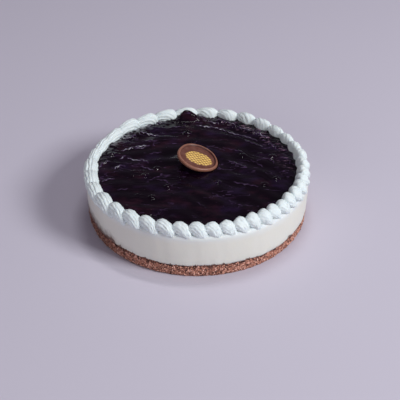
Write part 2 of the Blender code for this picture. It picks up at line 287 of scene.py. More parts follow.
def calc(tree, operation, first, second=0.0, third=0.0):
    """Output of one math node."""
    return add(tree, "ShaderNodeMath", {0: first, 1: second, 2: third}, operation=operation).outputs[0]


def arithmetic(tree):
    """The commonest math nodes of one tree, as functions: plus, minus, times and times-plus."""
    return [partial(calc, tree, kind) for kind in ("ADD", "SUBTRACT", "MULTIPLY", "MULTIPLY_ADD")]


def scaled(tree, vector, factor):
    """Output of a vector times a number."""
    return add(tree, "ShaderNodeVectorMath", {0: vector, "Scale": factor}, operation="SCALE").outputs[0]


def summed(tree, first, second):
    """Output of the sum of two vectors."""
    return add(tree, "ShaderNodeVectorMath", {0: first, 1: second}, operation="ADD").outputs[0]


def ramp(tree, factor, stops):
    """Output of a colour ramp through (place, colour) stops."""
    made = add(tree, "ShaderNodeValToRGB", {"Fac": factor})
    elements = made.color_ramp.elements
    while len(elements) < len(stops):
        elements.new(1.0)
    for element, (place, colour) in zip(elements, stops):
        element.position = place
        element.color = (*colour, 1)
    return made.outputs["Color"]


def mixed(tree, factor, first, second):
    """Output of one colour mixed into another, each a plain colour or a node's output."""
    made = add(tree, "ShaderNodeMix", {"Factor": factor}, data_type="RGBA")
    for socket, value in ((made.inputs[6], first), (made.inputs[7], second)):
        if isinstance(value, bpy.types.NodeSocket):
            tree.links.new(value, socket)
        else:
            socket.default_value = (*value, 1)
    return made.outputs[2]


def stretched(tree, value, from_low, from_high, to_low=0.0, to_high=1.0):
    """Output of a value moved from one range to another."""
    numbers = {"Value": value, 1: from_low, 2: from_high, 3: to_low, 4: to_high}
    return add(tree, "ShaderNodeMapRange", numbers).outputs[0]


def object_place(tree, scale=(1, 1, 1), turn=0.0):
    """Object coordinates, scaled and turned about Z."""
    where = add(tree, "ShaderNodeTexCoord").outputs["Object"]
    values = {"Vector": where, "Scale": scale, "Rotation": (0, 0, turn)}
    return add(tree, "ShaderNodeMapping", values).outputs[0]


def noise_value(tree, place, scale, detail=2.0, roughness=0.5):
    """Output of a noise, about 0.5 in the middle."""
    values = {"Vector": place, "Scale": scale, "Detail": detail, "Roughness": roughness}
    return add(tree, "ShaderNodeTexNoise", values).outputs["Fac"]


def marks(tree, band, scale, detail=2.0, roughness=0.5, drawn=1.0, turn=0, amounts=(0.0, 1.0)):
    """Marks where a noise, drawn out and turned by degrees, passes from below its band to above it."""
    place = object_place(tree, (drawn, 1, 1), math.radians(turn))
    return stretched(tree, noise_value(tree, place, scale, detail, roughness), *band, *amounts)


def stored(tree, name):
    """A number that the mesh keeps at each point."""
    return add(tree, "ShaderNodeAttribute", attribute_name=name).outputs["Fac"]


NUMBER = "NodeSocketFloat"
WHOLE = "NodeSocketInt"
GEOMETRY = "NodeSocketGeometry"
# Size of a pit as a share of its cell in the grain
PIT_RADIUS = 0.22


def kept(tree, name, kind="FLOAT"):
    """A number or vector that the mesh keeps at each point, for a Geometry Nodes tree."""
    return add(tree, "GeometryNodeInputNamedAttribute", {"Name": name}, data_type=kind).outputs[0]


def own_place(tree):
    """The three coordinates of a point, for a Geometry Nodes tree."""
    position = add(tree, "GeometryNodeInputPosition").outputs[0]
    return add(tree, "ShaderNodeSeparateXYZ", {0: position}).outputs


def new_group(name, kind, inputs, outputs):
    """A node group with named sockets, as (name, socket type, default) and (name, socket type)."""
    tree = bpy.data.node_groups.new(name, kind)
    for label, socket, default in inputs:
        made = tree.interface.new_socket(label, in_out="INPUT", socket_type=socket)
        if default is not None:
            made.default_value = default
    for label, socket in outputs:
        tree.interface.new_socket(label, in_out="OUTPUT", socket_type=socket)
    return tree, tree.nodes.new("NodeGroupInput"), tree.nodes.new("NodeGroupOutput")


def mottle_group():
    """Soft blotches of lighter and darker food, in two sizes."""
    found = bpy.data.node_groups.get("Food Mottle")
    if found:
        return found
    inputs = [("Large Scale", NUMBER, 40.0), ("Small Scale", NUMBER, 300.0), ("Small Share", NUMBER, 0.3)]
    tree, entry, leave = new_group("Food Mottle", "ShaderNodeTree", inputs, [("Mask", NUMBER)])
    place = object_place(tree)
    large = noise_value(tree, place, entry.outputs["Large Scale"])
    small = noise_value(tree, place, entry.outputs["Small Scale"])
    share = entry.outputs["Small Share"]
    _, minus, times, times_plus = arithmetic(tree)
    mask = times_plus(small, share, times(large, minus(1.0, share)))
    tree.links.new(mask, leave.inputs["Mask"])
    return tree


def grain_group():
    """Height of a fine uneven grain with a few open pits."""
    found = bpy.data.node_groups.get("Food Grain")
    if found:
        return found
    inputs = [("Scale", NUMBER, 600.0), ("Pit Scale", NUMBER, 180.0), ("Pit Depth", NUMBER, 0.5)]
    tree, entry, leave = new_group("Food Grain", "ShaderNodeTree", inputs, [("Height", NUMBER)])
    place = object_place(tree)
    grain = noise_value(tree, place, entry.outputs["Scale"], 3.0)
    cells = add(tree, "ShaderNodeTexVoronoi", {"Vector": place, "Scale": entry.outputs["Pit Scale"]})
    pit = stretched(tree, cells.outputs["Distance"], 0.0, PIT_RADIUS, 1.0, 0.0)
    drop = calc(tree, "MULTIPLY", pit, entry.outputs["Pit Depth"])
    tree.links.new(calc(tree, "SUBTRACT", grain, drop), leave.inputs["Height"])
    return tree


def grouped(tree, group, inputs):
    """Output of a shared group, placed with its own values."""
    made = tree.nodes.new("ShaderNodeGroup")
    made.node_tree = group
    for key, value in inputs.items():
        made.inputs[key].default_value = value
    return made.outputs[0]


def mottled(tree, large_scale, small_scale, small_share):
    """Mask of soft blotches."""
    values = {"Large Scale": large_scale, "Small Scale": small_scale, "Small Share": small_share}
    return grouped(tree, mottle_group(), values)


def new_material(name, **constants):
    """A Principled material whose plain values are set on the shader's own sockets."""
    material = bpy.data.materials.new(name)
    material.use_nodes = True
    shader = material.node_tree.nodes["Principled BSDF"]
    for key, value in constants.items():
        shader.inputs[key.replace("_", " ").title().replace("Ior", "IOR")].default_value = value
    return material, material.node_tree, shader


def bump(tree, shader, height, strength, distance):
    """Lets a height tilt the shader's normal."""
    made = add(tree, "ShaderNodeBump", {"Height": height, "Strength": strength, "Distance": distance})
    tree.links.new(made.outputs[0], shader.inputs["Normal"])


def grained(tree, shader, scale, pit_scale, pit_depth, strength, distance):
    """Lets the food's grain tilt the shader's normal."""
    values = {"Scale": scale, "Pit Scale": pit_scale, "Pit Depth": pit_depth}
    bump(tree, shader, grouped(tree, grain_group(), values), strength, distance)


def node_modifier(obj, tree, values):
    """Adds a Geometry Nodes modifier and sets its inputs by their sockets' identifiers."""
    modifier = obj.modifiers.new(tree.name, "NODES")
    modifier.node_group = tree
    for item in tree.interface.items_tree:
        if item.item_type == "SOCKET" and item.in_out == "INPUT" and item.name in values:
            modifier[item.identifier] = values[item.name]


def applied(obj):
    """Puts the evaluated mesh in place of the object's own and clears its modifiers."""
    graph = bpy.context.evaluated_depsgraph_get()
    finished = bpy.data.meshes.new_from_object(obj.evaluated_get(graph))
    plain = obj.data
    obj.modifiers.clear()
    obj.data = finished
    bpy.data.meshes.remove(plain)


# Crumb base

CRUMB_STEPS = 540
CRUMB_ROWS = 16
CRUMB_SEED = 1.7
CRUMB_GRAIN = 0.0045
CRUMB_COARSE_DEPTH = 0.0004
CRUMB_FINE_DEPTH = 0.0003
CRUMB_ROUNDING = 0.0012
FOOT_ROUNDS = (0.25, 0.0)
TOP_ROUNDS = (0.8, 1.0)
SQUARE_CM_IN_M2 = 10000
# Loose crumbs lie above this share of the side, and near its top a few stray out and up
LOOSE_FROM = 0.08
STRAYS_FROM = (0.7, 0.95)
STRAY_REACH = 0.0013
STRAY_RISE = 0.0030
STRAY_RARITY = 4.0
CRUMB_BREAKAGE = 0.0009
CRUMB_BREAK_SCALE = 900.0
# How each crumb's own tone, the dark seam and the fine mottle add up to a place among the colours
PLAIN_TONE = 0.25
TONE_SPREAD = 0.95
TONE_SHIFT = -0.69
SEAM_DARKENING = 0.22
MOTTLE_SPREAD = 1.5
# Painted shade darkens the foot of the cake at the left: how strong at most, and between which x and y
LEFT_SHADE_MOST = 0.75
LEFT_SHADE_X = (-0.055, -0.115)
LEFT_SHADE_Y = (0.09, 0.0)
LEFT_SHADE_CRUMB = 0.8


def left_shade_share(x, y):
    """How strongly painted shade darkens the foot of the cake at a point."""
    return LEFT_SHADE_MOST * smooth_step(*LEFT_SHADE_X, x) * smooth_step(*LEFT_SHADE_Y, y)


def crumb_material(settings):
    """Baked crumb: each grain has its own tone, darker at the seam, and darkened at the left as painted
    shade.
    """
    material, tree, shader = new_material("pressed_crumb", roughness=0.85)
    fine = mottled(tree, 260.0, 1100.0, 0.5)
    _, _, times, times_plus = arithmetic(tree)
    seam = times_plus(stored(tree, "seam"), -SEAM_DARKENING, TONE_SHIFT)
    blend = times_plus(fine, MOTTLE_SPREAD, times_plus(stored(tree, "grain_tone"), TONE_SPREAD, seam))
    colour = ramp(tree, blend, ((0.10, settings.pit_and_shade_colour), (0.34, settings.dark_colour),
                                (0.60, settings.crumb_colour), (0.95, settings.golden_colour)))
    # Painted shade at the left: the crumb is mixed towards the pit colour
    damp_and_shade = mixed(tree, times(stored(tree, "soaked"), LEFT_SHADE_CRUMB), colour, settings.pit_and_shade_colour)
    tree.links.new(damp_and_shade, shader.inputs["Base Color"])
    grained(tree, shader, 900.0, 420.0, 0.8, 0.8, 0.0006)
    return material


def crumb_tree(material):
    """Scatters small angular crumbs over the side of the base and fuses them to it."""
    inputs = [("Geometry", GEOMETRY, None), ("Density", NUMBER, 180000.0),
              ("Smallest", NUMBER, 0.0006), ("Largest", NUMBER, 0.0014), ("Seed", WHOLE, 3)]
    tree, entry, leave = new_group("Pressed Crumbs", "GeometryNodeTree", inputs, [("Geometry", GEOMETRY)])
    on_side = calc(tree, "GREATER_THAN", kept(tree, "side"), 0.5)
    spread = add(tree, "GeometryNodeDistributePointsOnFaces",
                 {"Mesh": entry.outputs["Geometry"], "Density": entry.outputs["Density"],
                  "Seed": entry.outputs["Seed"], "Selection": on_side})
    crumb = add(tree, "GeometryNodeMeshIcoSphere", {"Radius": 1.0, "Subdivisions": 1}).outputs["Mesh"]
    chance = add(tree, "FunctionNodeRandomValue", {"Seed": 13}).outputs[1]
    strayed = scaled(tree, kept(tree, "stray", "FLOAT_VECTOR"), calc(tree, "POWER", chance, STRAY_RARITY))
    moved = add(tree, "GeometryNodeSetPosition", {"Geometry": spread.outputs["Points"], "Offset": strayed})
    turn = add(tree, "FunctionNodeRandomValue", {"Max": (math.tau, math.tau, math.tau)},
               data_type="FLOAT_VECTOR").outputs[0]
    size = add(tree, "FunctionNodeRandomValue", {2: entry.outputs["Smallest"], 3: entry.outputs["Largest"],
                                                 "Seed": 5}).outputs[1]
    placed = add(tree, "GeometryNodeInstanceOnPoints",
                 {"Points": moved.outputs[0], "Instance": crumb, "Rotation": turn, "Scale": size})
    tone = add(tree, "FunctionNodeRandomValue", {"Seed": 9}).outputs[1]
    toned = add(tree, "GeometryNodeStoreNamedAttribute",
                {"Geometry": placed.outputs[0], "Name": "grain_tone", "Value": tone},
                data_type="FLOAT", domain="INSTANCE")
    loose = add(tree, "GeometryNodeRealizeInstances", {"Geometry": toned.outputs[0]})
    rough = add(tree, "ShaderNodeTexNoise", {"Scale": CRUMB_BREAK_SCALE, "Detail": 1.0}).outputs["Color"]
    centred = summed(tree, rough, (-0.5, -0.5, -0.5))
    broken = add(tree, "GeometryNodeSetPosition",
                 {"Geometry": loose.outputs[0], "Offset": scaled(tree, centred, CRUMB_BREAKAGE)})
    x, y, z = own_place(tree)
    raised = add(tree, "ShaderNodeCombineXYZ", {0: x, 1: y, 2: calc(tree, "MAXIMUM", z, 0.0)})
    standing = add(tree, "GeometryNodeSetPosition",
                   {"Geometry": broken.outputs[0], "Position": raised.outputs[0]})
    joined = tree.nodes.new("GeometryNodeJoinGeometry")
    tree.links.new(standing.outputs[0], joined.inputs[0])
    tree.links.new(entry.outputs["Geometry"], joined.inputs[0])
    finished = add(tree, "GeometryNodeSetMaterial", {"Geometry": joined.outputs[0], "Material": material})
    tree.links.new(finished.outputs[0], leave.inputs["Geometry"])
    return tree


def crumb_point(share, angle):
    """A point on the rough side, from its foot at share 0 to its top edge at share 1."""
    rim = CAKE_RADIUS - CRUMB_INSET
    height = share * seam_height(rim, angle)
    where = polar(rim, angle, height)
    uneven = CRUMB_COARSE_DEPTH * wave(where, CRUMB_GRAIN, CRUMB_SEED)
    uneven += CRUMB_FINE_DEPTH * wave(where, CRUMB_GRAIN / 3, CRUMB_SEED * 2)
    rounded = CRUMB_ROUNDING * (smooth_step(*FOOT_ROUNDS, share) + smooth_step(*TOP_ROUNDS, share))
    radius = rim + min(uneven, CRUMB_INSET / 2) - rounded
    return polar(radius * plan_factor(angle), angle, height)


def make_crumb_base(settings):
    """The skin of the base, with loose crumbs scattered on its side."""
    angles = [math.tau * step / CRUMB_STEPS for step in range(CRUMB_STEPS)]
    rings = [[polar(CAKE_RADIUS - SEAM_BAND, angle, CRUMB_HEIGHT) for angle in angles]]
    side = [0.0] * (CRUMB_STEPS + 1)
    for row in range(CRUMB_ROWS + 1):
        share = 1 - row / CRUMB_ROWS
        rings.append([crumb_point(share, angle) for angle in angles])
        side.extend([float(share > LOOSE_FROM)] * CRUMB_STEPS)
    side.append(0.0)
    base = ring_skin("crumb_base_rough", (0, 0, CRUMB_HEIGHT), rings, (0, 0, 0))
    strays, soaked, seam = [], [], []
    for vertex in base.data.vertices:
        x, y, z = vertex.co
        angle = math.atan2(y, x)
        near_top = smooth_step(*STRAYS_FROM, z / seam_height(CAKE_RADIUS, angle))
        strays.append(polar(STRAY_REACH * near_top, angle, STRAY_RISE * near_top))
        # Painted shade at the left, kept on the mesh
        soaked.append(left_shade_share(x, y))
        seam.append(near_top)
    tones = [PLAIN_TONE] * len(side)
    for name, values in (("side", side), ("soaked", soaked), ("seam", seam), ("grain_tone", tones)):
        store_values(base, name, values)
    store_vectors(base, "stray", strays)
    material = crumb_material(settings)
    node_modifier(base, crumb_tree(material), {
        "Density": settings.grain_density * SQUARE_CM_IN_M2, "Smallest": settings.smallest_grain,
        "Largest": settings.largest_grain, "Seed": settings.seed})
    applied(base)
    base.data.shade_smooth()
    dress(base, material, "crumb_base")


# Cheese layer

CHEESE_STEPS = 360
CHEESE_ROWS = 20
CHEESE_CORNER_ROWS = 6
HOLLOW_SIZE = 0.012
HOLLOW_SEED = 2.2
# Damp near the seam: how much higher it reaches under the painted shade at the left, how ragged it is, and
# where it ends
LEFT_SHADE_RISE = 0.0105
DRY_LIFT = 0.0014
RAGGED_MIDDLE = 0.44
RAGGED_DEPTH = 0.0170
DAMP_BAND = (0.0005, 0.0070)
STAIN_BAND = (0.0, 0.0008)
STAIN_RETREAT = 0.0035
# How clear the damp band is everywhere, and how much more under the painted shade at the left
WET_LEAST = 0.18
LEFT_SHADE_GAIN = 1.4
# Cream film near the top of the wall, as height above the seam
FILM_BAND = (0.0270, 0.0365)
FILM_MOST = 0.75
FILM_ROUGHNESS = 0.2


def cheese_material(settings):
    """Smooth cheese, damp and stained near the seam, with both reaching higher at the left as painted shade,
    and a film of cream at the top.
    """
    material, tree, shader = new_material("set_cheese", subsurface_weight=0.2, subsurface_scale=0.006,
                                          subsurface_radius=(1.0, 0.8, 0.6))
    plus, minus, times, times_plus = arithmetic(tree)
    rise, soaked = stored(tree, "rise"), stored(tree, "soaked")
    ragged = noise_value(tree, object_place(tree, (1, 1, 0.5)), 190.0, 4.0, 0.65)
    level = times_plus(soaked, -LEFT_SHADE_RISE, plus(rise, DRY_LIFT))
    damp_and_shade = times_plus(minus(ragged, RAGGED_MIDDLE), -RAGGED_DEPTH, level)
    mottle = mottled(tree, 30.0, 240.0, 0.25)
    plain = mixed(tree, mottle, settings.shade_colour, settings.cheese_colour)
    film = stretched(tree, rise, *FILM_BAND, 0.0, FILM_MOST)
    filmed = mixed(tree, film, plain, settings.film_colour)
    # The damp band and the stain are the cheese's own; at the left they reach higher as painted shade
    wet_and_shade = calc(tree, "MINIMUM", times_plus(soaked, LEFT_SHADE_GAIN, WET_LEAST), 1.0)
    glassy = times(stretched(tree, damp_and_shade, *DAMP_BAND, 1.0, 0.0), wet_and_shade)
    clear = mixed(tree, glassy, filmed, settings.damp_and_shade_colour)
    stained = stretched(tree, times_plus(soaked, STAIN_RETREAT, damp_and_shade), *STAIN_BAND, 1.0, 0.0)
    colour = mixed(tree, stained, clear, settings.stain_and_shade_colour)
    tree.links.new(colour, shader.inputs["Base Color"])
    rough = times_plus(film, FILM_ROUGHNESS, stretched(tree, mottle, 0.3, 0.7, 0.36, 0.5))
    tree.links.new(rough, shader.inputs["Roughness"])
    grained(tree, shader, 420.0, 90.0, 0.25, 0.25, 0.0004)
    return material


def make_cheese_layer(settings):
    """A disc with a rounded edge, whose foot follows the seam."""
    angles = [math.tau * step / CHEESE_STEPS for step in range(CHEESE_STEPS)]
    inner = CAKE_RADIUS - SEAM_BAND
    wall_top = CHEESE_TOP - CHEESE_EDGE
    profile = [(inner, CHEESE_TOP)]
    for row in range(CHEESE_CORNER_ROWS + 1):
        turn = math.radians(90) * (1 - row / CHEESE_CORNER_ROWS)
        profile.append((CAKE_RADIUS - CHEESE_EDGE + CHEESE_EDGE * math.cos(turn),
                        wall_top + CHEESE_EDGE * math.sin(turn)))
    rings = []
    rises = [CHEESE_TOP]
    for radius, height in profile:
        rings.append([polar(radius * plan_factor(angle), angle, height) for angle in angles])
        rises.extend([height - CRUMB_HEIGHT] * CHEESE_STEPS)
    for row in range(1, CHEESE_ROWS + 1):
        share = 1 - row / CHEESE_ROWS
        bulge = CHEESE_BULGE * math.sin(math.pi * share)
        ring = []
        for angle in angles:
            foot = seam_height(CAKE_RADIUS, angle) + GAP
            height = foot + share * (wall_top - foot)
            place = polar(CAKE_RADIUS, angle, height * 0.5)
            hollow = min(settings.unevenness * wave(place, HOLLOW_SIZE, HOLLOW_SEED), 0)
            ring.append(polar((CAKE_RADIUS + bulge + hollow) * plan_factor(angle), angle, height))
            rises.append(height - foot)
        rings.append(ring)
    rings.append([polar(inner, angle, CRUMB_HEIGHT + GAP) for angle in angles])
    rises.extend([0.0] * (CHEESE_STEPS + 1))
    layer = ring_skin("cheese_layer_smooth", (0, 0, CHEESE_TOP), rings, (0, 0, CRUMB_HEIGHT + GAP))
    store_values(layer, "rise", rises)
    # Painted shade at the left, kept on the mesh
    store_values(layer, "soaked", [left_shade_share(vertex.co.x, vertex.co.y) for vertex in layer.data.vertices])
    dress(layer, cheese_material(settings), "cheese_layer")


# Jam topping

JAM_RING_GAP = 0.00072
# Ridges that the spatula left: size across and along it, noise seed, sharpness and weight
RIDGE_SETS = ((0.008, 0.034, 4.4, 6, 1.0), (0.0036, 0.016, 6.1, 5, 0.6))
# Where the ridges are busy: in patches, and more at the left
BUSY_SIZE = 0.024
BUSY_SEED = 12.1
BUSY_BAND = (-0.15, 0.55)
BUSY_LEAST = 0.45
BUSY_X = (0.03, -0.05)
BUSY_Y = (-0.075, -0.01)
# Rough jam along the back edge
BACK_RING = (0.084, 0.099)
BACK_SIDE = (0.1, 0.75)
BACK_DEPTH = 0.0014
BACK_SIZE = 0.0052
BACK_SEED = 3.3
BACK_SMOOTHED = 0.9
# Thin film at the back left and rough marks at the right: angle, reach, sharpness and part of the radius
THIN_PLACE = (math.radians(133), 0.40, 2, (0.85, 0.98))
EDGE_PLACE = (math.radians(42), 0.75, 4, (0.76, 0.92))
FRUIT_SEED = 11
FRUIT_RADIUS = 0.0046
FRUIT_RADII = (0.0036, 0.0052)
FRUIT_SPACING = 0.011
FRUIT_REACH = 0.93
FRUIT_LEAST_RISE = 0.3
FRUIT_BLUNTNESS = 0.9
SHOWN_FRUIT = ((-0.056, -0.018), (-0.031, -0.038), (0.022, -0.028), (0.0847, -0.020), (0.0715, -0.030))
# Where the spatula pulled the jam up: start, end, bow to the left of the way, and the strength of its painted
# highlight
SHOWN_PULLS = (
    ((-0.086, 0.028), (-0.054, 0.041), 0.0022, 0.9), ((-0.072, 0.034), (-0.058, 0.036), 0.0, 0.6),
    ((-0.086, 0.012), (-0.080, 0.019), 0.0, 0.7), ((-0.078, 0.016), (-0.061, 0.011), -0.0022, 0.8),
    ((-0.064, 0.014), (-0.053, 0.005), 0.0, 0.6), ((-0.090, -0.008), (-0.083, 0.001), 0.0012, 0.8),
    ((-0.084, 0.001), (-0.078, -0.003), 0.0, 0.4), ((-0.063, -0.001), (-0.047, -0.009), 0.0012, 0.5),
    ((-0.106, -0.006), (-0.095, 0.008), 0.0040, 0.7), ((-0.101, -0.033), (-0.088, -0.025), 0.0025, 0.7),
    ((-0.067, 0.069), (-0.044, 0.061), -0.0010, 0.9), ((-0.084, 0.052), (-0.071, 0.060), 0.0, 0.7),
    ((-0.055, 0.023), (-0.040, 0.027), 0.0010, 0.35), ((-0.046, -0.025), (-0.030, -0.027), 0.0, 0.3),
    ((-0.060, 0.050), (-0.046, 0.049), 0.0010, 0.35), ((-0.085, -0.045), (-0.072, -0.043), 0.0, 0.35),
    ((0.007, 0.043), (0.031, 0.033), 0.0010, 0.35), ((0.027, 0.040), (0.051, 0.030), 0.0, 0.35),
    ((0.030, 0.014), (0.055, -0.001), 0.0012, 0.4), ((0.036, -0.027), (0.065, -0.035), 0.0, 0.42),
    ((0.057, 0.015), (0.072, 0.001), 0.0010, 0.35), ((0.029, -0.057), (0.041, -0.066), 0.0, 0.25),
    ((0.015, -0.046), (0.027, -0.056), 0.0, 0.25), ((-0.001, -0.064), (0.010, -0.074), 0.0, 0.25),
    ((0.052, 0.055), (0.073, 0.042), 0.0, 0.4), ((-0.002, 0.086), (0.016, 0.082), -0.0010, 0.9),
    ((0.015, 0.082), (0.033, 0.073), 0.0012, 0.8), ((0.032, 0.074), (0.051, 0.065), -0.0012, 0.6),
    ((0.048, 0.066), (0.068, 0.054), 0.0010, 0.5), ((0.029, 0.092), (0.044, 0.085), 0.0020, 0.7),
    ((0.045, 0.083), (0.062, 0.076), -0.0010, 0.7), ((0.062, 0.072), (0.080, 0.060), 0.0, 0.6),
    ((0.010, 0.094), (0.024, 0.089), 0.0, 0.5), ((-0.034, 0.078), (-0.014, 0.081), 0.0012, 0.5),
    ((0.078, 0.052), (0.088, 0.036), 0.0015, 0.45), ((0.072, 0.020), (0.084, 0.008), 0.0030, 0.4),
)
PULL_RISE = 0.0008
PULL_WIDTH = 0.0013
PULL_LINE_WIDTH = 0.0008
PULL_WOBBLE = 0.0006
PULL_WOBBLE_LENGTH = 0.0071
FAINT_PULL_GAIN = 0.2
# How wide the fine threads of painted highlight are, and where the streaks, the dim painted sheen and the
# bright painted sheen come in
THREAD_WIDTH = 0.013
STREAK_BAND = (0.46, 0.74)
DIM_SHEEN_BAND = (0.05, 0.4)
SHEEN_BAND = (0.4, 1.0)


def pull_shares(plan, start, end, bow):
    """How much each point of the plan is on one curved, wavy pull: its ridge and its line of painted
    highlight.
    """
    way = np.subtract(end, start)
    length = np.hypot(*way)
    way = way / length
    ahead = (plan - start) @ way
    share = ahead / length
    wobble = PULL_WOBBLE * np.sin(ahead * math.tau / PULL_WOBBLE_LENGTH + start[0] * 1000)
    aside = (plan - start) @ np.array((-way[1], way[0])) - bow * 4 * share * (1 - share) - wobble
    fade = np.clip(1 - (2 * share - 1) ** 2, 0, 1) ** 0.5
    return fade * np.exp(-(aside / PULL_WIDTH) ** 2), fade * np.exp(-(aside / PULL_LINE_WIDTH) ** 2)


def stroke_course(x, y):
    """How far a point is across the spatula's strokes and along them."""
    lean = 0.5 + 0.5 * math.tanh(x / JAM_SIDE_BLEND)
    across = y * (1 - STROKE_ACROSS[1] * lean) + x * STROKE_ACROSS[0] * lean
    along = x * (1 - STROKE_ALONG[0] * lean) - y * STROKE_ALONG[1] * lean
    return across + JAM_WARP * wave((x, y, 0), JAM_WARP_SIZE, STROKE_SEED), along


def climb_share(angle):
    """How strongly the jam is smeared up the cream, at its most at one place at the back."""
    away = turn_from(JAM_CLIMB_ANGLE, angle) * JAM_RADIUS
    return math.exp(-abs(away / JAM_CLIMB_WIDTH) ** JAM_CLIMB_BLUNTNESS)


def jam_height(x, y, settings):
    """Height of the jam at a point: strokes, fruit under the surface and two heaps."""
    radius = math.hypot(x, y)
    across, along = stroke_course(x, y)
    stroke = JAM_STROKE * math.sin(math.tau * across / JAM_STROKE_SPACING)
    lumps = JAM_LUMP * wave((x, y, 0), JAM_LUMP_SIZE, LUMP_SEED)
    heap_x = x - MEDALLION_CENTRE.x + JAM_HEAP_SHIFT
    heap_y = y - MEDALLION_CENTRE.y
    heap = JAM_HEAP_HEIGHT * math.exp(-(heap_x ** 2 + heap_y ** 2) / JAM_HEAP_REACH ** 2)
    smeared = climb_share(math.atan2(y, x))
    climb = JAM_CLIMB_HEIGHT * smeared * smooth_step(JAM_CLIMB_FOOT, JAM_CLIMB_TOP, radius)
    crests = 0.0
    for wide, long, seed, sharpness, weight in RIDGE_SETS:
        crests += weight * (1 - abs(wave((across / wide, along / long, 0), 1.0, seed))) ** sharpness
    left = smooth_step(*BUSY_X, x) * smooth_step(*BUSY_Y, y)
    busy = smooth_step(*BUSY_BAND, wave((x, y, 0), BUSY_SIZE, BUSY_SEED))
    ridges = settings.ridge_height * busy * (BUSY_LEAST + (1 - BUSY_LEAST) * left) * crests
    back = smooth_step(*BACK_RING, radius) * smooth_step(*BACK_SIDE, y / max(radius, 0.001))
    rough = back * (1 - BACK_SMOOTHED * smeared) * abs(wave((x, y, 0), BACK_SIZE, BACK_SEED))
    return JAM_LEVEL + stroke + lumps + heap + climb + ridges + BACK_DEPTH * rough


def fruit_places(settings):
    """Middle, radius and height of each whole fruit that swells the surface."""
    draw = random.Random(FRUIT_SEED)
    fruit = [(x, y, FRUIT_RADIUS, settings.fruit_height) for x, y in SHOWN_FRUIT]
    while len(fruit) < settings.fruit_count:
        radius = JAM_RADIUS * FRUIT_REACH * math.sqrt(draw.random())
        angle = draw.uniform(0, math.tau)
        x, y = polar(radius, angle, 0)[:2]
        if all(math.hypot(x - other[0], y - other[1]) > FRUIT_SPACING for other in fruit):
            wide = draw.uniform(*FRUIT_RADII)
            fruit.append((x, y, wide, settings.fruit_height * draw.uniform(FRUIT_LEAST_RISE, 1)))
    return fruit


def jam_plan():
    """The surface seen from above, in rings of six sectors: points, faces and the last ring's start."""
    count = round(JAM_RADIUS / JAM_RING_GAP)
    points = [(0.0, 0.0)]
    starts = [0]
    for ring in range(1, count + 1):
        starts.append(len(points))
        radius = JAM_RADIUS * ring / count
        for step in range(6 * ring):
            angle = math.tau * step / (6 * ring)
            wide = radius * (1 + (plan_factor(angle) - 1) * radius / JAM_RADIUS)
            if ring == count:
                wide += JAM_CLIMB_REACH * climb_share(angle)
            points.append(polar(wide, angle, 0)[:2])
    faces = []
    for ring in range(1, count + 1):
        inner, outer = max(1, 6 * (ring - 1)), 6 * ring
        for side in range(6):
            for step in range(ring):
                out = starts[ring] + side * ring + step
                out_next = starts[ring] + (side * ring + step + 1) % outer
                low = starts[ring - 1] + (side * (ring - 1) + step) % inner
                faces.append((low, out, out_next))
                if step < ring - 1:
                    low_next = starts[ring - 1] + (side * (ring - 1) + step + 1) % inner
                    faces.append((low, out_next, low_next))
    return points, faces, starts[count]


def jam_surface(points, settings):
    """Height and painted highlight at each point: with whole fruit, pulls and the medallion's bed."""
    plan = np.array(points)
    height = np.array([jam_height(x, y, settings) for x, y in points])
    for x, y, radius, rise in fruit_places(settings):
        share = ((plan[:, 0] - x) ** 2 + (plan[:, 1] - y) ** 2) / radius ** 2
        height += rise * np.clip(1 - share, 0, 1) ** FRUIT_BLUNTNESS
    # Painted highlight along each pull
    sheen = np.zeros(len(points))
    for start, end, bow, strength in SHOWN_PULLS:
        ridge, line = pull_shares(plan, start, end, bow)
        height += PULL_RISE * min(1, strength + FAINT_PULL_GAIN) * ridge
        sheen = np.maximum(sheen, strength * line)
    normal = MEDALLION_TILT.to_matrix() @ Vector((0, 0, 1))
    under = MEDALLION_CENTRE - normal * (MEDALLION_THICKNESS / 2 + GAP)
    bed = under.z - (normal.x * (plan[:, 0] - under.x) + normal.y * (plan[:, 1] - under.y)) / normal.z
    away = np.hypot(plan[:, 0] - MEDALLION_CENTRE.x, plan[:, 1] - MEDALLION_CENTRE.y)
    return np.where(away < MEDALLION_RADIUS + GAP, np.minimum(height, bed), height), sheen


def rim_share(x, y, place, reach, sharpness, ring):
    """How much a point is near the jam's edge and near a place round it."""
    away = turn_from(place, math.atan2(y, x))
    return smooth_step(*ring, math.hypot(x, y) / JAM_RADIUS) * math.exp(-(away / reach) ** sharpness)


def make_jam_topping(settings):
    """The spread surface, closed by a short wall and a flat floor."""
    points, faces, edge_start = jam_plan()
    height, sheen = jam_surface(points, settings)
    verts = [(x, y, z) for (x, y), z in zip(points, height)]
    floor = CHEESE_TOP + GAP
    foot_start = len(verts)
    edge_count = foot_start - edge_start
    centre = foot_start + edge_count
    verts.extend((x, y, floor) for x, y in points[edge_start:])
    verts.append((0, 0, floor))
    for step in range(edge_count):
        after = (step + 1) % edge_count
        faces.append((edge_start + step, foot_start + step, foot_start + after, edge_start + after))
        faces.append((foot_start + step, centre, foot_start + after))
    jam = mesh_object("jam_topping_glossy", verts, faces)
    thin = [(1 - climb_share(math.atan2(y, x))) * rim_share(x, y, *THIN_PLACE) for x, y, _ in verts]
    store_values(jam, "thin", thin)
    store_values(jam, "edge", [rim_share(x, y, *EDGE_PLACE) for x, y, _ in verts])
    # Painted highlight of the pulls, kept on the mesh
    store_values(jam, "sheen", np.append(sheen, np.zeros(len(verts) - len(points))))
    dress(jam, jam_material(settings), "jam_topping")


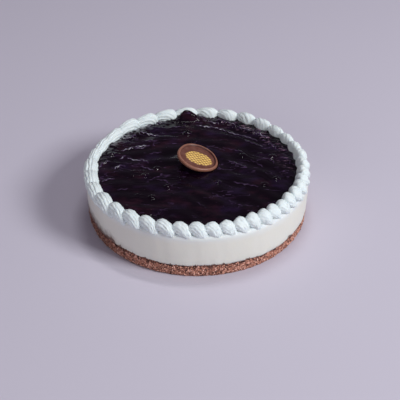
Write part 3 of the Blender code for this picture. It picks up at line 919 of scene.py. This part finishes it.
def jam_material(settings):
    """Glossy dark jam: streaks inside it, rough marks and a thin film at its edge, and painted highlights
    along the pulls and fine threads.
    """
    material, tree, shader = new_material("dark_fruit_jam", ior=1.31)
    _, minus, times, _ = arithmetic(tree)
    streaks = noise_value(tree, object_place(tree, (0.5, 1, 1), math.radians(-14)), 85.0, 5.0, 0.65)
    tinted = stretched(tree, streaks, *STREAK_BAND)
    tint = mixed(tree, marks(tree, (0.44, 0.56), 26.0), settings.tint_colour, settings.fruit_colour)
    rough_marks = marks(tree, (0.57, 0.66), 270.0, 4.0, 0.6, drawn=0.5, turn=35, amounts=(0.0, 0.9))
    deep = mixed(tree, times(stored(tree, "edge"), rough_marks),
                 mixed(tree, tinted, settings.jam_colour, tint), settings.edge_colour)
    film = marks(tree, (0.46, 0.54), 280.0, 4.0, drawn=0.5, turn=-40)
    smeared = mixed(tree, times(stored(tree, "thin"), film), deep, settings.smear_colour)
    broken = marks(tree, (0.36, 0.6), 260.0, 3.0, amounts=(0.35, 1.25))
    # Painted highlight along fine wavy threads
    course = noise_value(tree, object_place(tree, (0.35, 1, 1), math.radians(-16)), 62.0, 3.0, 0.6)
    aside = calc(tree, "ABSOLUTE", minus(course, 0.5))
    thread = stretched(tree, aside, 0.0, THREAD_WIDTH, settings.thread_sheen, 0.0)
    threads = times(thread, marks(tree, (0.46, 0.6), 45.0, 3.0))
    sheen = calc(tree, "MAXIMUM", times(stored(tree, "sheen"), broken), threads)
    # Painted highlights: a dim purple, then pale grey where brightest
    dim_sheened = mixed(tree, stretched(tree, sheen, *DIM_SHEEN_BAND), smeared, settings.dim_sheen_colour)
    colour = mixed(tree, stretched(tree, sheen, *SHEEN_BAND), dim_sheened, settings.sheen_colour)
    tree.links.new(colour, shader.inputs["Base Color"])
    tree.links.new(stretched(tree, streaks, 0.3, 0.7, 0.05, 0.15), shader.inputs["Roughness"])
    ripple = noise_value(tree, object_place(tree, (0.4, 1, 1), math.radians(10)), 420.0, 2.0)
    bump(tree, shader, ripple, 0.35, 0.0005)
    return material


# Cream border

# How deep the shells' ridges are: sharpest at one side and soft at the other
RIDGE_MIDDLE = 0.78
RIDGE_SWING = 0.42
RIDGE_PEAK = math.radians(170)
# How soon the grooves reach full depth from a shell's ends, and the roughness at its head and tail
POLE_FADE = 4.0
HEAD_ROUGHNESS = 0.75
TAIL_ROUGHNESS = 0.7
WELD_DISTANCE = 0.000002


def pitch_factor(angle):
    """How far apart the shells are at an angle: close at the right front, wide at the back left."""
    return (1 + PITCH_SWING * math.cos(angle - PITCH_PEAK)
            + PITCH_RIPPLE * math.cos(2 * (angle - PITCH_RIPPLE_PEAK)))


def shell_places():
    """Angle and pitch of each shell, from the seam round."""
    shares = [0.0]
    for step in range(RING_STEPS):
        angle = SEAM_ANGLE + math.tau * (step + 0.5) / RING_STEPS
        shares.append(shares[-1] + 1 / pitch_factor(angle))
    places = []
    step = 0
    for number in range(SHELL_COUNT):
        wanted = shares[-1] * (number + 0.5) / SHELL_COUNT
        while shares[step + 1] < wanted:
            step += 1
        density = shares[step + 1] - shares[step]
        angle = SEAM_ANGLE + math.tau * (step + (wanted - shares[step]) / density) / RING_STEPS
        pitch = math.tau / RING_STEPS * shares[-1] / SHELL_COUNT / density * MIDDLE_RADIUS
        places.append((angle, pitch))
    return places


def rope_share(angle):
    """1 at the left, where the shells run into one rope, and 0 where they stand apart."""
    return facing(ROPE_ANGLE, angle) ** ROPE_FALL


def bulb(share, taper):
    """Thickness along a shell: blunt at both ends, and slimmer towards the tail."""
    outline = (1 - abs(2 * share - 1) ** SHELL_BLUNTNESS) ** (1 / SHELL_BLUNTNESS)
    return outline * (1 - taper * share)


def shell_measures(number, angle, pitch, draw):
    """Foot point, the three directions at their lengths, the roll, the taper and the fullest place."""
    slant = SLANT_MIDDLE + SLANT_SWING * math.cos(angle - SLANT_PEAK)
    slant += math.radians(draw.uniform(-SLANT_JITTER, SLANT_JITTER))
    size = 1 + SIZE_SWING * math.cos(angle - SIZE_PEAK) + draw.uniform(-SIZE_JITTER, SIZE_JITTER)
    size *= 1 - END_SHRINK * max(0, END_SHELLS - (SHELL_COUNT - 1 - number))
    across = math.sin(slant) ** 2
    length = size * (LENGTH_ALONG + (LENGTH_ACROSS - LENGTH_ALONG) * across)
    half_width = size * (HALF_WIDTH_ALONG + (HALF_WIDTH_ACROSS - HALF_WIDTH_ALONG) * across)
    half_height = size * HALF_HEIGHT + draw.uniform(-1, 1) * SHELL_JITTER / 2
    outward = Vector((math.cos(angle), math.sin(angle), 0))
    tangent = Vector((-math.sin(angle), math.cos(angle), 0))
    middle = MIDDLE_RADIUS * (1 + BORDER_OVAL * math.cos(2 * (angle - BORDER_LONG_AXIS)))
    middle += BORDER_SHIFT.dot(outward) + draw.uniform(-1, 1) * SHELL_JITTER
    roll = draw.uniform(0, math.tau / STAR_TEETH)
    rope = rope_share(angle)
    taper = TAPER_SHELL + (TAPER_ROPE - TAPER_SHELL) * rope
    reach = HALF_REACH
    for place, shift, extra in WIDE_PLACES:
        wide = facing(place, angle) ** WIDE_FALL
        middle += shift * wide
        reach += extra * wide
        taper -= WIDE_TAPER * wide * (1 - rope)
    cover = COVER_SHELL + (COVER_ROPE - COVER_SHELL) * rope
    shares = [step / RING_STEPS for step in range(RING_STEPS)]
    fullest = max(bulb(share, taper) for share in shares)
    along = tangent * math.cos(slant) + outward * math.sin(slant)
    aside = Vector((-along.y, along.x, 0))
    run, spread = Vector(), Vector()
    for direction, wanted in ((tangent, pitch * cover / 2), (outward, size * reach)):
        ahead, beside = length * along.dot(direction), half_width * aside.dot(direction)
        plain = max(abs(ahead * (share - 0.5)) + abs(beside) * bulb(share, taper) / fullest
                    for share in shares)
        run += direction * ahead * wanted / plain
        spread += direction * beside * wanted / plain
    foot = Vector((0, 0, CHEESE_TOP - SHELL_SINK)) + outward * middle
    return foot, (run, spread, Vector((0, 0, half_height))), roll, taper, fullest


def shell_tree(material):
    """Lays one star-piped shell at each point, fitted to the directions that the point keeps."""
    inputs = [("Geometry", GEOMETRY, None), ("Sections", WHOLE, 32), ("Around", WHOLE, 85),
              ("Teeth", NUMBER, 13.0), ("Tooth Depth", NUMBER, 0.16),
              ("Bluntness", NUMBER, SHELL_BLUNTNESS), ("Twist", NUMBER, 0.15),
              ("Curl", NUMBER, SHELL_CURL), ("Tail Curl", NUMBER, TAIL_CURL),
              ("Unevenness", NUMBER, 0.0005), ("Unevenness Scale", NUMBER, 240.0)]
    tree, entry, leave = new_group("Piped Shells", "GeometryNodeTree", inputs, [("Geometry", GEOMETRY)])
    plus, minus, times, times_plus = arithmetic(tree)
    sine, cosine, over, power = (partial(calc, tree, kind) for kind in ("SINE", "COSINE", "DIVIDE", "POWER"))

    # One sheet keeps its places along and around a shell, and is laid at each point
    grid = add(tree, "GeometryNodeMeshGrid", {"Size X": 1.0, "Size Y": 1.0,
                                              "Vertices X": entry.outputs["Around"],
                                              "Vertices Y": entry.outputs["Sections"]})
    x, y, _ = own_place(tree)
    round_share = times(plus(x, 0.5), math.tau)
    sheet = grid.outputs["Mesh"]
    for name, value in (("share", plus(y, 0.5)),
                        ("turn", times_plus(cosine(round_share), CREST_DENSITY, round_share))):
        sheet = add(tree, "GeometryNodeStoreNamedAttribute",
                    {"Geometry": sheet, "Name": name, "Value": value},
                    data_type="FLOAT", domain="POINT").outputs[0]
    laid = add(tree, "GeometryNodeInstanceOnPoints", {"Points": entry.outputs["Geometry"], "Instance": sheet})
    real = add(tree, "GeometryNodeRealizeInstances", {"Geometry": laid.outputs[0]})

    # The sheet becomes a ball, twisted and curled over at both ends
    share, turn, roll = (kept(tree, name) for name in ("share", "turn", "roll"))
    sweep = times(share, math.pi)
    ahead = times(cosine(sweep), -1.0)
    wide = sine(sweep)
    angle = plus(turn, times(ahead, entry.outputs["Twist"]))
    aside, above = times(wide, cosine(angle)), times(wide, sine(angle))
    to_tail = minus(1.0, share)
    curl = minus(times(times(to_tail, to_tail), entry.outputs["Curl"]),
                 times(times(share, share), entry.outputs["Tail Curl"]))
    lean, upright = sine(curl), cosine(curl)
    along = minus(times(ahead, upright), times(above, lean))
    rise = plus(times(ahead, lean), times(above, upright))
    girth = calc(tree, "SQRT", plus(times(aside, aside), times_plus(rise, rise, 0.000001)))

    # Its girth follows the shell's outline, less the grooves between the teeth
    blunt = entry.outputs["Bluntness"]
    filled = minus(1.0, power(calc(tree, "ABSOLUTE", along), blunt))
    outline = power(calc(tree, "MAXIMUM", filled, 0.0), over(1.0, blunt))
    tail_share = times_plus(along, 0.5, 0.5)
    slimmer = minus(1.0, times(tail_share, kept(tree, "taper")))
    thick = over(times(outline, slimmer), kept(tree, "fullest"))
    tooth = times(plus(turn, roll), times(entry.outputs["Teeth"], 0.5))
    groove = minus(1.0, calc(tree, "ABSOLUTE", sine(tooth)))
    to_pole = calc(tree, "MINIMUM", times(wide, POLE_FADE), 1.0)
    deep = times(times(entry.outputs["Tooth Depth"], kept(tree, "sharp")), to_pole)
    rim = times(thick, minus(1.0, times(groove, deep)))
    out = times(rim, over(aside, girth))
    to_end = times(tail_share, tail_share)
    up = times_plus(rim, over(rise, girth), minus(thick, times(to_end, TAIL_DROOP)))
    where = kept(tree, "foot", "FLOAT_VECTOR")
    for name, amount in (("run", times(along, 0.5)), ("spread", out), ("lift", up)):
        where = summed(tree, where, scaled(tree, kept(tree, name, "FLOAT_VECTOR"), amount))
    shaped = add(tree, "GeometryNodeSetPosition", {"Geometry": real.outputs[0], "Position": where})

    # Cream is never quite smooth, least of all at a shell's tail
    soft = add(tree, "ShaderNodeTexNoise", {"Scale": entry.outputs["Unevenness Scale"], "Detail": 4.0,
                                            "Roughness": 0.7})
    centred = summed(tree, soft.outputs["Color"], (-0.5, -0.5, -0.5))
    amount = times(entry.outputs["Unevenness"], times_plus(to_end, TAIL_ROUGHNESS, HEAD_ROUGHNESS))
    uneven = add(tree, "GeometryNodeSetPosition",
                 {"Geometry": shaped.outputs[0], "Offset": scaled(tree, centred, amount)})
    welded = add(tree, "GeometryNodeMergeByDistance",
                 {"Geometry": uneven.outputs[0], "Distance": WELD_DISTANCE})
    finished = add(tree, "GeometryNodeSetMaterial", {"Geometry": welded.outputs[0], "Material": material})
    tree.links.new(finished.outputs[0], leave.inputs["Geometry"])
    return tree


def cream_material(settings):
    """Soft whipped cream."""
    material, tree, shader = new_material("whipped_cream", subsurface_weight=0.25, subsurface_scale=0.002,
                                          subsurface_radius=(1.0, 0.9, 0.8), roughness=0.62, ior=1.38)
    mottle = mottled(tree, 60.0, 420.0, 0.4)
    colour = mixed(tree, mottle, settings.shade_colour, settings.cream_colour)
    tree.links.new(colour, shader.inputs["Base Color"])
    grained(tree, shader, 700.0, 260.0, 0.3, 0.3, 0.0004)
    return material


def make_cream_border(settings):
    """The ring of shells, grown from one point for each."""
    draw = random.Random(SHELL_SEED)
    places = shell_places()
    rows = [shell_measures(number, *place, draw) for number, place in enumerate(places)]
    feet, directions, rolls, tapers, fullest = zip(*rows)
    runs, spreads, lifts = zip(*directions)
    sharp = [RIDGE_MIDDLE + RIDGE_SWING * math.cos(angle - RIDGE_PEAK) for angle, _ in places]
    border = mesh_object("cream_border_piped", feet, [])
    for name, values in (("foot", feet), ("run", runs), ("spread", spreads), ("lift", lifts)):
        store_vectors(border, name, values)
    for name, values in (("roll", rolls), ("taper", tapers), ("fullest", fullest), ("sharp", sharp)):
        store_values(border, name, values)
    material = cream_material(settings)
    node_modifier(border, shell_tree(material), {
        "Teeth": float(settings.teeth), "Tooth Depth": settings.tooth_depth, "Twist": settings.twist,
        "Unevenness": settings.unevenness})
    applied(border)
    border.data.shade_smooth()
    dress(border, material, "cream_border")


# Chocolate medallion

MEDALLION_STEPS = 240
MEDALLION_RING_GAP = 0.0004
# Section of the rim: its steps and degrees of turn, then the underside as shares of radius and half height
RIM_STEPS = 12
RIM_TURN = 165
UNDERSIDE = ((0.985, 0.6), (0.94, 1.0))
# Lobes of the uneven outline: weight, count and start
RIM_LOBES = ((0.6, 3, 1.0), (0.4, 5, 2.2))
CAST_WAVE = 0.00012
CAST_WAVE_SIZE = 0.004
CAST_SEED = 7.7
FACE_MARGIN = 0.0001
PANEL_EDGE = (1.0, 0.93)
PANEL_RAGGED = 0.05
PANEL_RAGGED_SIZE = 0.004
PANEL_SEED = 1.1
PANEL_FLOOR = 0.35
LATTICE_GROOVE = (0.16, 0.50)
RIM_FADE = (-0.0004, 0.0008)
# Painted shadow just inside the rim, on the face: the side where it is darkest, its shift and its width
RIM_SHADOW_ANGLE = math.radians(35)
RIM_SHADOW_SHIFT = 0.0002
RIM_SHADOW_WIDTH = 0.0009


def panel_share(x, y):
    """How far a point of the face is on the raised panel, 0 to 1, and its place along and across it."""
    x, y = x - PANEL_OFFSET[0], y - PANEL_OFFSET[1]
    u = x * math.cos(PANEL_TURN) + y * math.sin(PANEL_TURN)
    v = y * math.cos(PANEL_TURN) - x * math.sin(PANEL_TURN)
    away = math.hypot(u / PANEL_HALF_LENGTH, v / PANEL_HALF_WIDTH)
    away += PANEL_RAGGED * wave((x, y, 0), PANEL_RAGGED_SIZE, PANEL_SEED)
    return smooth_step(*PANEL_EDGE, away), u, v


def lattice_share(u, v, spacing):
    """1 on the diamonds of the lattice, 0 in the grooves between them."""
    first = abs(math.sin(math.pi * (u + v) / spacing))
    second = abs(math.sin(math.pi * (u - v) / spacing))
    return smooth_step(*LATTICE_GROOVE, min(first, second))


def medallion_profile(rim_foot):
    """Radius and height of each ring, from the middle of the face over the rim to the underside."""
    half = MEDALLION_THICKNESS / 2
    count = round(rim_foot / MEDALLION_RING_GAP)
    profile = [(rim_foot * ring / count, half - MEDALLION_RECESS) for ring in range(1, count + 1)]
    for step in range(RIM_STEPS + 1):
        turn = math.radians(RIM_TURN * (1 - step / RIM_STEPS))
        profile.append((rim_foot + MEDALLION_RIM / 2 * (1 + math.cos(turn)), half * math.sin(turn)))
    profile.extend((MEDALLION_RADIUS * wide, -half * deep) for wide, deep in UNDERSIDE)
    return profile


def make_medallion(settings):
    """The cast disc, tilted on its bed of jam."""
    half = MEDALLION_THICKNESS / 2
    face = half - MEDALLION_RECESS
    rim_foot = MEDALLION_RADIUS - MEDALLION_RIM
    profile = medallion_profile(rim_foot)
    angles = [math.tau * step / MEDALLION_STEPS for step in range(MEDALLION_STEPS)]
    turning = MEDALLION_TILT.to_matrix()

    def placed(radius, angle, height):
        swell = sum(weight * math.cos(count * angle + start) for weight, count, start in RIM_LOBES)
        x, y, z = polar(radius * (1 + RIM_UNEVEN * swell * radius / MEDALLION_RADIUS), angle, height)
        gold = 0.0
        if radius < rim_foot + FACE_MARGIN and height > 0:
            share, u, v = panel_share(x, y)
            diamond = lattice_share(u, v, settings.lattice_spacing)
            z += PANEL_HEIGHT * share * (PANEL_FLOOR + (1 - PANEL_FLOOR) * diamond)
            gold = share * diamond
        else:
            z += CAST_WAVE * wave((x, y, z), CAST_WAVE_SIZE, CAST_SEED)
        return MEDALLION_CENTRE + turning @ Vector((x, y, z)), gold

    top, middle_gold = placed(0, 0, face)
    rings, golds, rims, rim_shadows = [], [middle_gold], [0.0], [0.0]
    for radius, height in profile:
        made = [placed(radius, angle, height) for angle in angles]
        rings.append([point for point, _ in made])
        golds.extend(gold for _, gold in made)
        past = radius - rim_foot
        rims.extend([smooth_step(*RIM_FADE, past)] * MEDALLION_STEPS)
        # Painted shadow that the rim casts on the face, darkest at one side
        near = math.exp(-((past - RIM_SHADOW_SHIFT) / RIM_SHADOW_WIDTH) ** 2) if height > 0 else 0.0
        rim_shadows.extend(near * facing(RIM_SHADOW_ANGLE, angle) for angle in angles)
    medallion = ring_skin("chocolate_medallion_cast", top, rings, placed(0, 0, -half)[0])
    for name, values in (("gold", golds), ("rim", rims), ("hollow", rim_shadows)):
        store_values(medallion, name, values + [0.0])
    dress(medallion, chocolate_material(settings), "chocolate_medallion")


def chocolate_material(settings):
    """Cast chocolate with a paler rim, a painted shadow just inside it and gold dust on the panel."""
    material, tree, shader = new_material("cast_chocolate")
    _, _, times, _ = arithmetic(tree)
    mottle = mottled(tree, 180.0, 900.0, 0.35)
    body = mixed(tree, stored(tree, "rim"), settings.face_colour, settings.rim_colour)
    bloomed = mixed(tree, stretched(tree, mottle, 0.3, 0.7, 0.0, 0.35), body, settings.bloom_colour)
    # Painted shadow just inside the rim, kept as hollow
    brown = mixed(tree, stored(tree, "hollow"), bloomed, settings.rim_shadow_colour)
    gold = times(stored(tree, "gold"), marks(tree, (0.26, 0.42), 900.0))
    colour = mixed(tree, gold, brown, settings.gold_colour)
    tree.links.new(colour, shader.inputs["Base Color"])
    tree.links.new(times(gold, 0.1), shader.inputs["Metallic"])
    tree.links.new(stretched(tree, mottle, 0.3, 0.7, 0.34, 0.48), shader.inputs["Roughness"])
    grained(tree, shader, 1500.0, 500.0, 0.2, 0.2, 0.0002)
    return material


# Stage

FLOOR_DROP = 0.0002
LIGHT_AIM = Vector((0, 0, 0.03))
# Lights: name, place, width and height, and colour
LIGHTS = (
    ("key", (2.2, -1.1, 1.95), (1.0, 1.0), (0.97, 1.0, 1.0)),
    ("overhead", (0.2, 0.5, 2.3), (0.8, 0.16), (1, 1, 1)),
    ("front", (-1.3, -2.5, 1.2), (2.0, 1.2), (1, 1, 1)),
)


def make_floor(settings):
    """The plain floor, just under the cake."""
    reach = settings.floor_reach
    corners = [(-reach, -reach, 0), (reach, -reach, 0), (reach, reach, 0), (-reach, reach, 0)]
    floor = mesh_object("floor", corners, [(0, 1, 2, 3)])
    floor.location.z = -FLOOR_DROP
    material, _, shader = new_material("pale_floor", roughness=0.7)
    shader.inputs["Base Color"].default_value = (*settings.floor_colour, 1)
    floor.data.materials.append(material)


def make_lights(settings):
    """Soft light from all round, and rectangular lights that face the cake."""
    world = bpy.data.worlds.new("studio")
    world.use_nodes = True
    background = world.node_tree.nodes["Background"]
    background.inputs["Color"].default_value = (*settings.fill_colour, 1)
    background.inputs["Strength"].default_value = settings.fill_strength
    bpy.context.scene.world = world
    for name, place, size, colour in LIGHTS:
        light = bpy.data.lights.new(name, "AREA")
        light.shape = "RECTANGLE"
        light.size, light.size_y = size
        light.energy = getattr(settings, name + "_power")
        light.color = colour
        obj = linked_object(name, light)
        obj.location = place
        obj.rotation_euler = (Vector(place) - LIGHT_AIM).to_track_quat("Z", "Y").to_euler()


def make_camera():
    """The camera, at the photograph's angle and framing."""
    camera = bpy.data.cameras.new("camera")
    camera.lens = LENS
    camera.sensor_width = SENSOR
    obj = linked_object("camera", camera)
    bpy.context.scene.camera = obj
    right = Vector((1, 0, 0))
    up = Vector((0, math.sin(ELEVATION), math.cos(ELEVATION)))
    back = Vector((0, -math.cos(ELEVATION), math.sin(ELEVATION)))
    side = right * math.cos(ROLL) - up * math.sin(ROLL)
    top = right * math.sin(ROLL) + up * math.cos(ROLL)
    place = back * DISTANCE - side * AIM_RIGHT - top * AIM_UP
    axes = Matrix((side, top, back)).transposed().to_4x4()
    obj.matrix_world = Matrix.Translation(place) @ axes


# Settings that a user would change


def colour_setting(name, description, default):
    """A colour that the user picks."""
    return FloatVectorProperty(name=name, description=description, default=default, subtype="COLOR",
                               size=3, min=0.0, max=1.0)


def length_setting(name, description, default):
    """A length that the user sets."""
    return FloatProperty(name=name, description=description, default=default, subtype="DISTANCE",
                         unit="LENGTH", min=0.0, precision=4)


def share_setting(name, description, default, most=1.0):
    """A number from 0 up to the most."""
    return FloatProperty(name=name, description=description, default=default, min=0.0, max=most)


def power_setting(name, description, default):
    """A light's power."""
    return FloatProperty(name=name, description=description, default=default, subtype="POWER",
                         unit="POWER", min=0.0)


class CrumbBaseSettings(bpy.types.PropertyGroup):
    grain_density: FloatProperty(name="Grain density", description="Crumbs on each square centimetre",
                                 default=48.0, min=0.0)
    smallest_grain: length_setting("Smallest grain", "Radius of the smallest crumb", 0.0004)
    largest_grain: length_setting("Largest grain", "Radius of the largest crumb", 0.0010)
    seed: IntProperty(name="Seed", description="Where the crumbs fall", default=3)
    # Pits: the crumb's darkest tone, and also the colour of the painted shade at the left
    pit_and_shade_colour: colour_setting("Pits", "Colour deep between crumbs", (0.055, 0.018, 0.014))
    dark_colour: colour_setting("Dark crumb", "Colour of the darker crumbs", (0.40, 0.17, 0.12))
    crumb_colour: colour_setting("Crumb", "Colour of most crumbs", (0.62, 0.27, 0.18))
    golden_colour: colour_setting("Golden crumb", "Colour of the lighter crumbs", (0.92, 0.56, 0.46))


class CheeseLayerSettings(bpy.types.PropertyGroup):
    unevenness: length_setting("Unevenness", "Depth of the wall's soft hollows", 0.0003)
    cheese_colour: colour_setting("Cheese", "Colour of the set cheese", (0.81, 0.80, 0.735))
    shade_colour: colour_setting("Cheese shade", "Darker blotches of the cheese", (0.75, 0.74, 0.67))
    film_colour: colour_setting("Cream film", "Cream smeared on the upper edge", (0.79, 0.84, 0.86))
    # The damp band and the stain are the cheese's own colours, and also carry the painted shade at the left
    damp_and_shade_colour: colour_setting("Soaked edge", "Cheese near the crumb", (0.42, 0.40, 0.355))
    stain_and_shade_colour: colour_setting("Stain", "Cheese stained by the crumb", (0.17, 0.10, 0.08))


class JamSettings(bpy.types.PropertyGroup):
    ridge_height: length_setting("Ridge height", "Height of the spatula's fine ridges", 0.0006)
    fruit_count: IntProperty(name="Whole fruit", description="Fruit that swells the surface",
                             default=17, min=5)
    fruit_height: length_setting("Fruit height", "Rise of the largest fruit", 0.0019)
    jam_colour: colour_setting("Jam", "Colour of the jam", (0.0036, 0.0007, 0.0036))
    tint_colour: colour_setting("Jam tint", "Colour where light gets into the jam", (0.015, 0.006, 0.026))
    fruit_colour: colour_setting("Fruit tint", "Colour where fruit skin shows", (0.026, 0.006, 0.014))
    edge_colour: colour_setting("Jam edge", "Rough marks along the jam's edge", (0.20, 0.11, 0.17))
    smear_colour: colour_setting("Thin smear", "Colour of a thin film over the cream", (0.42, 0.43, 0.46))
    # Painted highlights of the jam: the colours of its pulls and threads where the lights would reflect
    dim_sheen_colour: colour_setting("Jam pulls", "Colour of jam that is pulled thin", (0.065, 0.035, 0.085))
    thread_sheen: share_setting("Thread sheen", "How pale the fine wavy lines in the jam are", 0.4)
    sheen_colour: colour_setting("Jam sheen", "Colour of the palest pulls in the jam", (0.54, 0.54, 0.60))


class CreamSettings(bpy.types.PropertyGroup):
    teeth: IntProperty(name="Nozzle teeth", description="Ridges round a shell", default=13, min=5)
    tooth_depth: share_setting("Tooth depth", "Groove depth as a share of the shell", 0.115, 0.5)
    twist: FloatProperty(name="Twist", description="Turn of the ridges along a shell", default=0.15,
                         subtype="ANGLE", unit="ROTATION")
    unevenness: length_setting("Unevenness", "Size of the cream's soft bumps", 0.0038)
    cream_colour: colour_setting("Cream", "Colour of the cream", (0.815, 0.868, 0.868))
    shade_colour: colour_setting("Cream shade", "Darker blotches of the cream", (0.75, 0.83, 0.85))


class MedallionSettings(bpy.types.PropertyGroup):
    lattice_spacing: length_setting("Lattice spacing", "Distance between grooves of the panel", 0.0046)
    face_colour: colour_setting("Face", "Colour of the recessed face", (0.11, 0.030, 0.020))
    rim_colour: colour_setting("Rim", "Colour of the worn rim", (0.27, 0.105, 0.066))
    # Colour of the painted shadow just inside the rim
    rim_shadow_colour: colour_setting("Hollow", "Colour in the corner under the rim", (0.035, 0.006, 0.006))
    bloom_colour: colour_setting("Bloom", "Colour of the pale bloom on chocolate", (0.34, 0.17, 0.13))
    gold_colour: colour_setting("Gold", "Colour of the gold dust", (1.0, 0.64, 0.17))


class StageSettings(bpy.types.PropertyGroup):
    floor_reach: length_setting("Floor reach", "Half the width of the floor", 6.0)
    floor_colour: colour_setting("Floor", "Colour of the floor", (0.62, 0.58, 0.68))
    fill_colour: colour_setting("Fill", "Colour of the light from all round", (0.87, 0.78, 1.0))
    fill_strength: share_setting("Fill strength", "Light from all round", 0.135)
    key_power: power_setting("Key power", "Power of the light at the right", 73.0)
    overhead_power: power_setting("Overhead power", "Power of the light above", 9.5)
    front_power: power_setting("Front power", "Power of the light in front", 16.0)


class CrumbBaseOperator(bpy.types.Operator):
    """Make the rough crumb base"""
    bl_idname = "cheesecake.crumb_base"
    bl_label = "Crumb Base"

    def execute(self, context):
        make_crumb_base(context.scene.crumb_base_settings)
        return {"FINISHED"}


class CheeseLayerOperator(bpy.types.Operator):
    """Make the smooth cheese layer"""
    bl_idname = "cheesecake.cheese_layer"
    bl_label = "Cheese Layer"

    def execute(self, context):
        make_cheese_layer(context.scene.cheese_layer_settings)
        return {"FINISHED"}


class JamToppingOperator(bpy.types.Operator):
    """Spread the fruit jam"""
    bl_idname = "cheesecake.jam_topping"
    bl_label = "Jam Topping"

    def execute(self, context):
        make_jam_topping(context.scene.jam_settings)
        return {"FINISHED"}


class CreamBorderOperator(bpy.types.Operator):
    """Pipe the cream border"""
    bl_idname = "cheesecake.cream_border"
    bl_label = "Cream Border"

    def execute(self, context):
        make_cream_border(context.scene.cream_settings)
        return {"FINISHED"}


class MedallionOperator(bpy.types.Operator):
    """Cast the chocolate medallion"""
    bl_idname = "cheesecake.medallion"
    bl_label = "Chocolate Medallion"

    def execute(self, context):
        make_medallion(context.scene.medallion_settings)
        return {"FINISHED"}


class StageOperator(bpy.types.Operator):
    """Set the floor, the lights and the camera"""
    bl_idname = "cheesecake.stage"
    bl_label = "Stage"

    def execute(self, context):
        settings = context.scene.stage_settings
        make_floor(settings)
        make_lights(settings)
        make_camera()
        context.scene.view_settings.view_transform = "Standard"
        return {"FINISHED"}


STEPS = (
    (CrumbBaseOperator, CrumbBaseSettings, "crumb_base_settings"),
    (CheeseLayerOperator, CheeseLayerSettings, "cheese_layer_settings"),
    (JamToppingOperator, JamSettings, "jam_settings"),
    (CreamBorderOperator, CreamSettings, "cream_settings"),
    (MedallionOperator, MedallionSettings, "medallion_settings"),
    (StageOperator, StageSettings, "stage_settings"),
)


class CheesecakePanel(bpy.types.Panel):
    """Steps and settings of the cheesecake"""
    bl_idname = "VIEW3D_PT_cheesecake"
    bl_label = "Cheesecake"
    bl_space_type = "VIEW_3D"
    bl_region_type = "UI"
    bl_category = "Cheesecake"

    def draw(self, context):
        for operator, group, name in STEPS:
            box = self.layout.box()
            box.operator(operator.bl_idname)
            for key in group.__annotations__:
                box.prop(getattr(context.scene, name), key)


def register():
    for operator, group, name in STEPS:
        bpy.utils.register_class(group)
        bpy.utils.register_class(operator)
        setattr(bpy.types.Scene, name, PointerProperty(type=group))
    bpy.utils.register_class(CheesecakePanel)


def unregister():
    bpy.utils.unregister_class(CheesecakePanel)
    for operator, group, name in reversed(STEPS):
        delattr(bpy.types.Scene, name)
        bpy.utils.unregister_class(operator)
        bpy.utils.unregister_class(group)


def main():
    """Registers the add-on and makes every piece."""
    register()
    bpy.ops.cheesecake.stage()
    bpy.ops.cheesecake.crumb_base()
    bpy.ops.cheesecake.cheese_layer()
    bpy.ops.cheesecake.jam_topping()
    bpy.ops.cheesecake.cream_border()
    bpy.ops.cheesecake.medallion()


if __name__ == "__main__":
    main()
